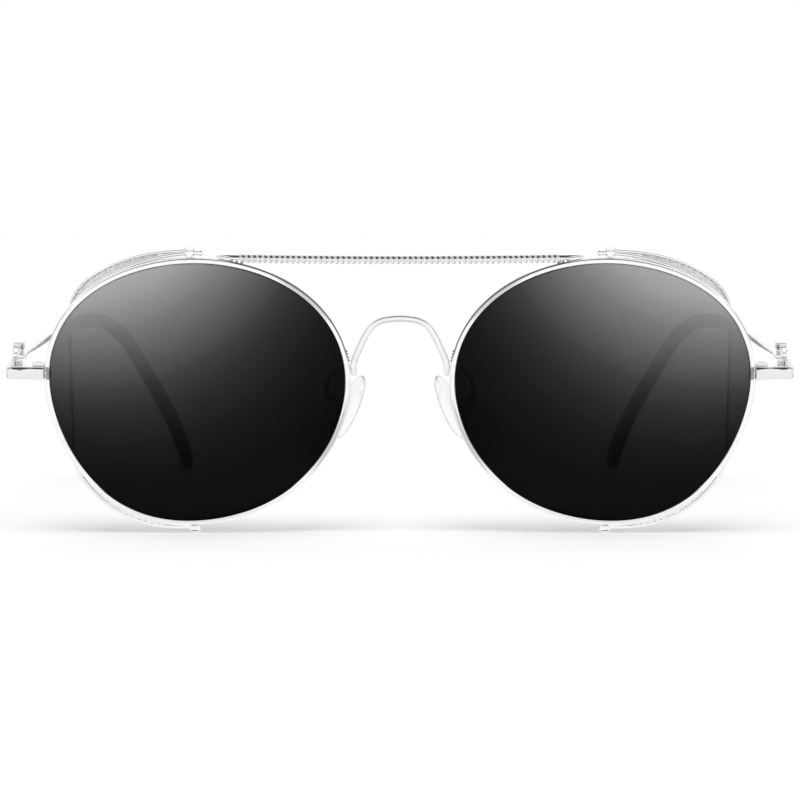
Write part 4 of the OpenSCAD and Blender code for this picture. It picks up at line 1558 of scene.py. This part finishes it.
    def build_frame(self, side: Side) -> None:
        """Sweep both hoops and join them to their collars and the upper collar's tail."""
        hoops = [
            self.frame.place_all([hoop(u) for u in spread(-1.0, 1.0, 140)], side)
            for hoop in (self.front, self.rear)
        ]
        wires = Shaper.tubes(side.of("hoops"), hoops, self.wire, sides=16)
        low_base = self.collar_bottom - self.low_collar_h
        upper = self.collar(side, side.of("upper_collar"), self.collar_top, self.collar_h)
        lower = self.collar(side, side.of("lower_collar"), low_base, self.low_collar_h)
        tail_x = self.pivot_x - self.collar_r - self.tail_reach
        tail_z = self.collar_top + self.collar_h / 2
        path = [Vector((tail_x + x * MM, self.pivot_y, tail_z)) for x, _ in self.tail]
        placed = self.frame.place_all(path, side)
        shares = [share for _, share in self.tail]
        tail = Shaper.tubes(side.of("tail"), [placed], self.tail_r, sides=16, radii=[shares])
        whole = Shaper.join(side.of("shield_wires"), wires, upper, lower, tail)
        self.fit(whole, side.of("shield"), PLATING, side.of("shield_frame"))

    def net_path(self, family: int, number: int) -> Ring:
        """Return one slanting wire of the mesh.

        Args:
            family: 1 or -1, for the two ways in which the wires slant.
            number: The wire's number in its family.

        Returns:
            Its middle line in the front frame, without what lies beyond the mesh's ends.
        """
        far = self.net_end + self.net_slant / 2
        start = blend(-far, far, number / self.net_count)
        path = []
        for share in spread(0.0, 1.0, 12):
            u = start + family * self.net_slant * (share - 0.5)
            if abs(u) <= self.net_end:
                wave = math.cos(math.pi * (share * self.net_waves + number)) * family
                path.append(self.band(u, share, self.net_wire * wave))
        return path

    def build_mesh(self, side: Side) -> None:
        """Weave the mesh from two families of wires that pass over and under, with a border."""
        end = self.net_end
        paths = [
            self.net_path(family, number)
            for family in (1, -1)
            for number in range(self.net_count + 1)
        ]
        paths += [[self.band(u, share) for u in spread(-end, end, 120)] for share in (0.0, 1.0)]
        paths += [[self.band(u, share) for share in spread(0.0, 1.0, 8)] for u in (-end, end)]
        placed = [self.frame.place_all(path, side) for path in paths if len(path) > 1]
        net = Shaper.tubes(side.of("woven_mesh"), placed, self.net_wire, sides=4)
        self.fit(net, side.of("shield"), MESH_WIRE, side.of("shield_mesh"))

    def build(self) -> None:
        """Build both shields."""
        for side in Side:
            self.build_frame(side)
            self.build_mesh(side)
            self.dress(side.of("shield_pins"), PLATING, 0.1 * MM)


@dataclass(frozen=True)
class Card:
    """A grey card that fades to white at its edges, so that its mirror image has none."""

    name: str
    place: Vector
    size: tuple[float, float]
    grey: float
    core: float
    turn: float = 0.0
    edge: float = 0.49

    def build(self) -> None:
        """Stand the card where only mirroring rays see it."""
        Shaper.deselect()
        turn = (0.0, self.turn, 0.0)
        bpy.ops.mesh.primitive_plane_add(size=1.0, location=self.place, rotation=turn)
        card = bpy.context.object
        card.name = self.name
        card.scale = (*self.size, 1.0)
        material = bpy.data.materials.new(self.name)
        material.use_nodes = True
        tree = material.node_tree
        tree.nodes.remove(tree.nodes["Principled BSDF"])
        coords = add_node(tree, "TexCoord").outputs["Object"]
        length = add_node(tree, "VectorMath", {0: coords}, operation="LENGTH").outputs["Value"]
        fade = step(tree, length, self.core, self.edge, (self.grey, 1.0))
        glow = add_node(tree, "Emission", {"Strength": fade})
        tree.links.new(glow.outputs[0], tree.nodes["Material Output"].inputs["Surface"])
        card.data.materials.append(material)
        for sight in ("camera", "diffuse", "transmission", "shadow"):
            setattr(card, f"visible_{sight}", False)


@dataclass(frozen=True)
class Lamp:
    """A wide, even light that mirrors don't show, its turn and width in degrees."""

    name: str
    turn: tuple[float, float, float]
    width: float
    strength: float

    def build(self) -> None:
        """Hang the lamp."""
        Shaper.deselect()
        bpy.ops.object.light_add(type="SUN", rotation=[math.radians(a) for a in self.turn])
        lamp = bpy.context.object
        lamp.name = self.name
        lamp.data.angle = math.radians(self.width)
        lamp.data.energy = self.strength
        lamp.visible_glossy = False


@dataclass
class Studio:
    """The floor, the cards, the lamps and the camera."""

    frame: FrontFrame
    sight: float = math.radians(14.3)
    distance: float = 0.5
    lens_mm: float = 121.62
    sensor_mm: float = 36.0
    world_light: float = 0.36
    floor_size: float = 40.0
    floor_grey: float = 0.86
    floor_lift: float = 0.18

    def build_camera(self) -> None:
        """Look at the middle of the front from a little above."""
        rise = self.sight - self.frame.tilt
        offset = Vector((0.0, -math.cos(rise), math.sin(rise))) * self.distance
        Shaper.deselect()
        bpy.ops.object.camera_add(location=self.frame.place(Vector()) + offset)
        camera = bpy.context.object
        camera.rotation_euler = (-offset).to_track_quat("-Z", "Y").to_euler()
        camera.data.lens = self.lens_mm
        camera.data.sensor_width = self.sensor_mm
        camera.data.clip_start = 0.01
        camera.data.clip_end = 50.0
        bpy.context.scene.camera = camera

    @staticmethod
    def backdrop_rays(tree: Tree) -> Socket:
        """Return 1 for rays that see the backdrop directly, in a mirror or through glass."""
        path = add_node(tree, "LightPath").outputs
        seen = calc(tree, "MAXIMUM", path["Is Camera Ray"], path["Is Glossy Ray"])
        return calc(tree, "MAXIMUM", seen, path["Is Transmission Ray"])

    def build_world(self) -> None:
        """Fill the surroundings: white where they are seen, softer where they light the object."""
        world = bpy.data.worlds.new("studio")
        bpy.context.scene.world = world
        world.use_nodes = True
        tree = world.node_tree
        background = tree.nodes["Background"].inputs
        background["Color"].default_value = (1.0, 1.0, 1.0, 1.0)
        strength = calc(tree, "MULTIPLY", self.backdrop_rays(tree), 1.0 - self.world_light)
        strength = calc(tree, "ADD", strength, self.world_light)
        tree.links.new(strength, background["Strength"])

    def build_floor(self) -> None:
        """Lay a white floor that keeps the object's shadow."""
        Shaper.deselect()
        bpy.ops.mesh.primitive_plane_add(size=self.floor_size, location=(0.0, 0.0, 0.0))
        floor = bpy.context.object
        floor.name = "floor"
        material = bpy.data.materials.new("floor_paper")
        material.use_nodes = True
        tree = material.node_tree
        paper = tree.nodes["Principled BSDF"].inputs
        paper["Base Color"].default_value = (*[self.floor_grey] * 3, 1.0)
        paper["Roughness"].default_value = 0.9
        paper["Specular IOR Level"].default_value = 0.0
        paper["Emission Color"].default_value = (1.0, 1.0, 1.0, 1.0)
        lift = calc(tree, "MULTIPLY", self.backdrop_rays(tree), self.floor_lift)
        tree.links.new(lift, paper["Emission Strength"])
        floor.data.materials.append(material)

    def build_cards(self) -> None:
        """Set soft-edged grey cards round the object, seen only in the metal and the lenses."""
        quarter = math.radians(90.0)
        cards = [Card("upper_card", Vector((0.0, -0.52, 0.8)), (3.0, 1.0), grey=0.05, core=0.34)]
        cards += [
            Card(name, Vector((x, -0.1, 0.35)), (0.8, 1.3), grey=0.16, core=0.15, turn=quarter)
            for name, x in (("left_card", 1.1), ("right_card", -1.1))
        ]
        cards += [
            Card("lower_card", Vector((0.0, 0.06, 0.0004)), (0.6, 0.25), grey=0.60, core=0.44),
            Card("bridge_card", Vector((0.0, -0.09, 0.0005)), (0.034, 0.06), grey=0.60, core=0.34),
        ]
        for card in cards:
            card.build()

    def build(self) -> None:
        """Build the whole studio."""
        self.build_camera()
        self.build_world()
        self.build_floor()
        self.build_cards()
        Lamp("overhead", turn=(20.0, 0.0, 0.0), width=46.0, strength=2.0).build()
        Lamp("front_fill", turn=(62.0, 0.0, 18.0), width=70.0, strength=0.20).build()
        bpy.context.scene.view_settings.view_transform = "Standard"


def main() -> None:
    """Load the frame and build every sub-assembly in order."""
    logging.basicConfig(level=logging.INFO, format="%(message)s")
    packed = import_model()
    joints = packed["record"]["behaviour"]["joints"]
    frame = FrontFrame.from_joint(next(j for j in joints if j["name"] == "left_temple_fold"))
    log.info("the front leans %.2f degrees", math.degrees(frame.tilt))
    Studio(frame).build()
    shop = Workshop(frame, packed["nodes"])
    for part in (Eye, Bridge, Temple, NosePads, SideShield):
        part(shop).build()


if __name__ == "__main__":
    main()
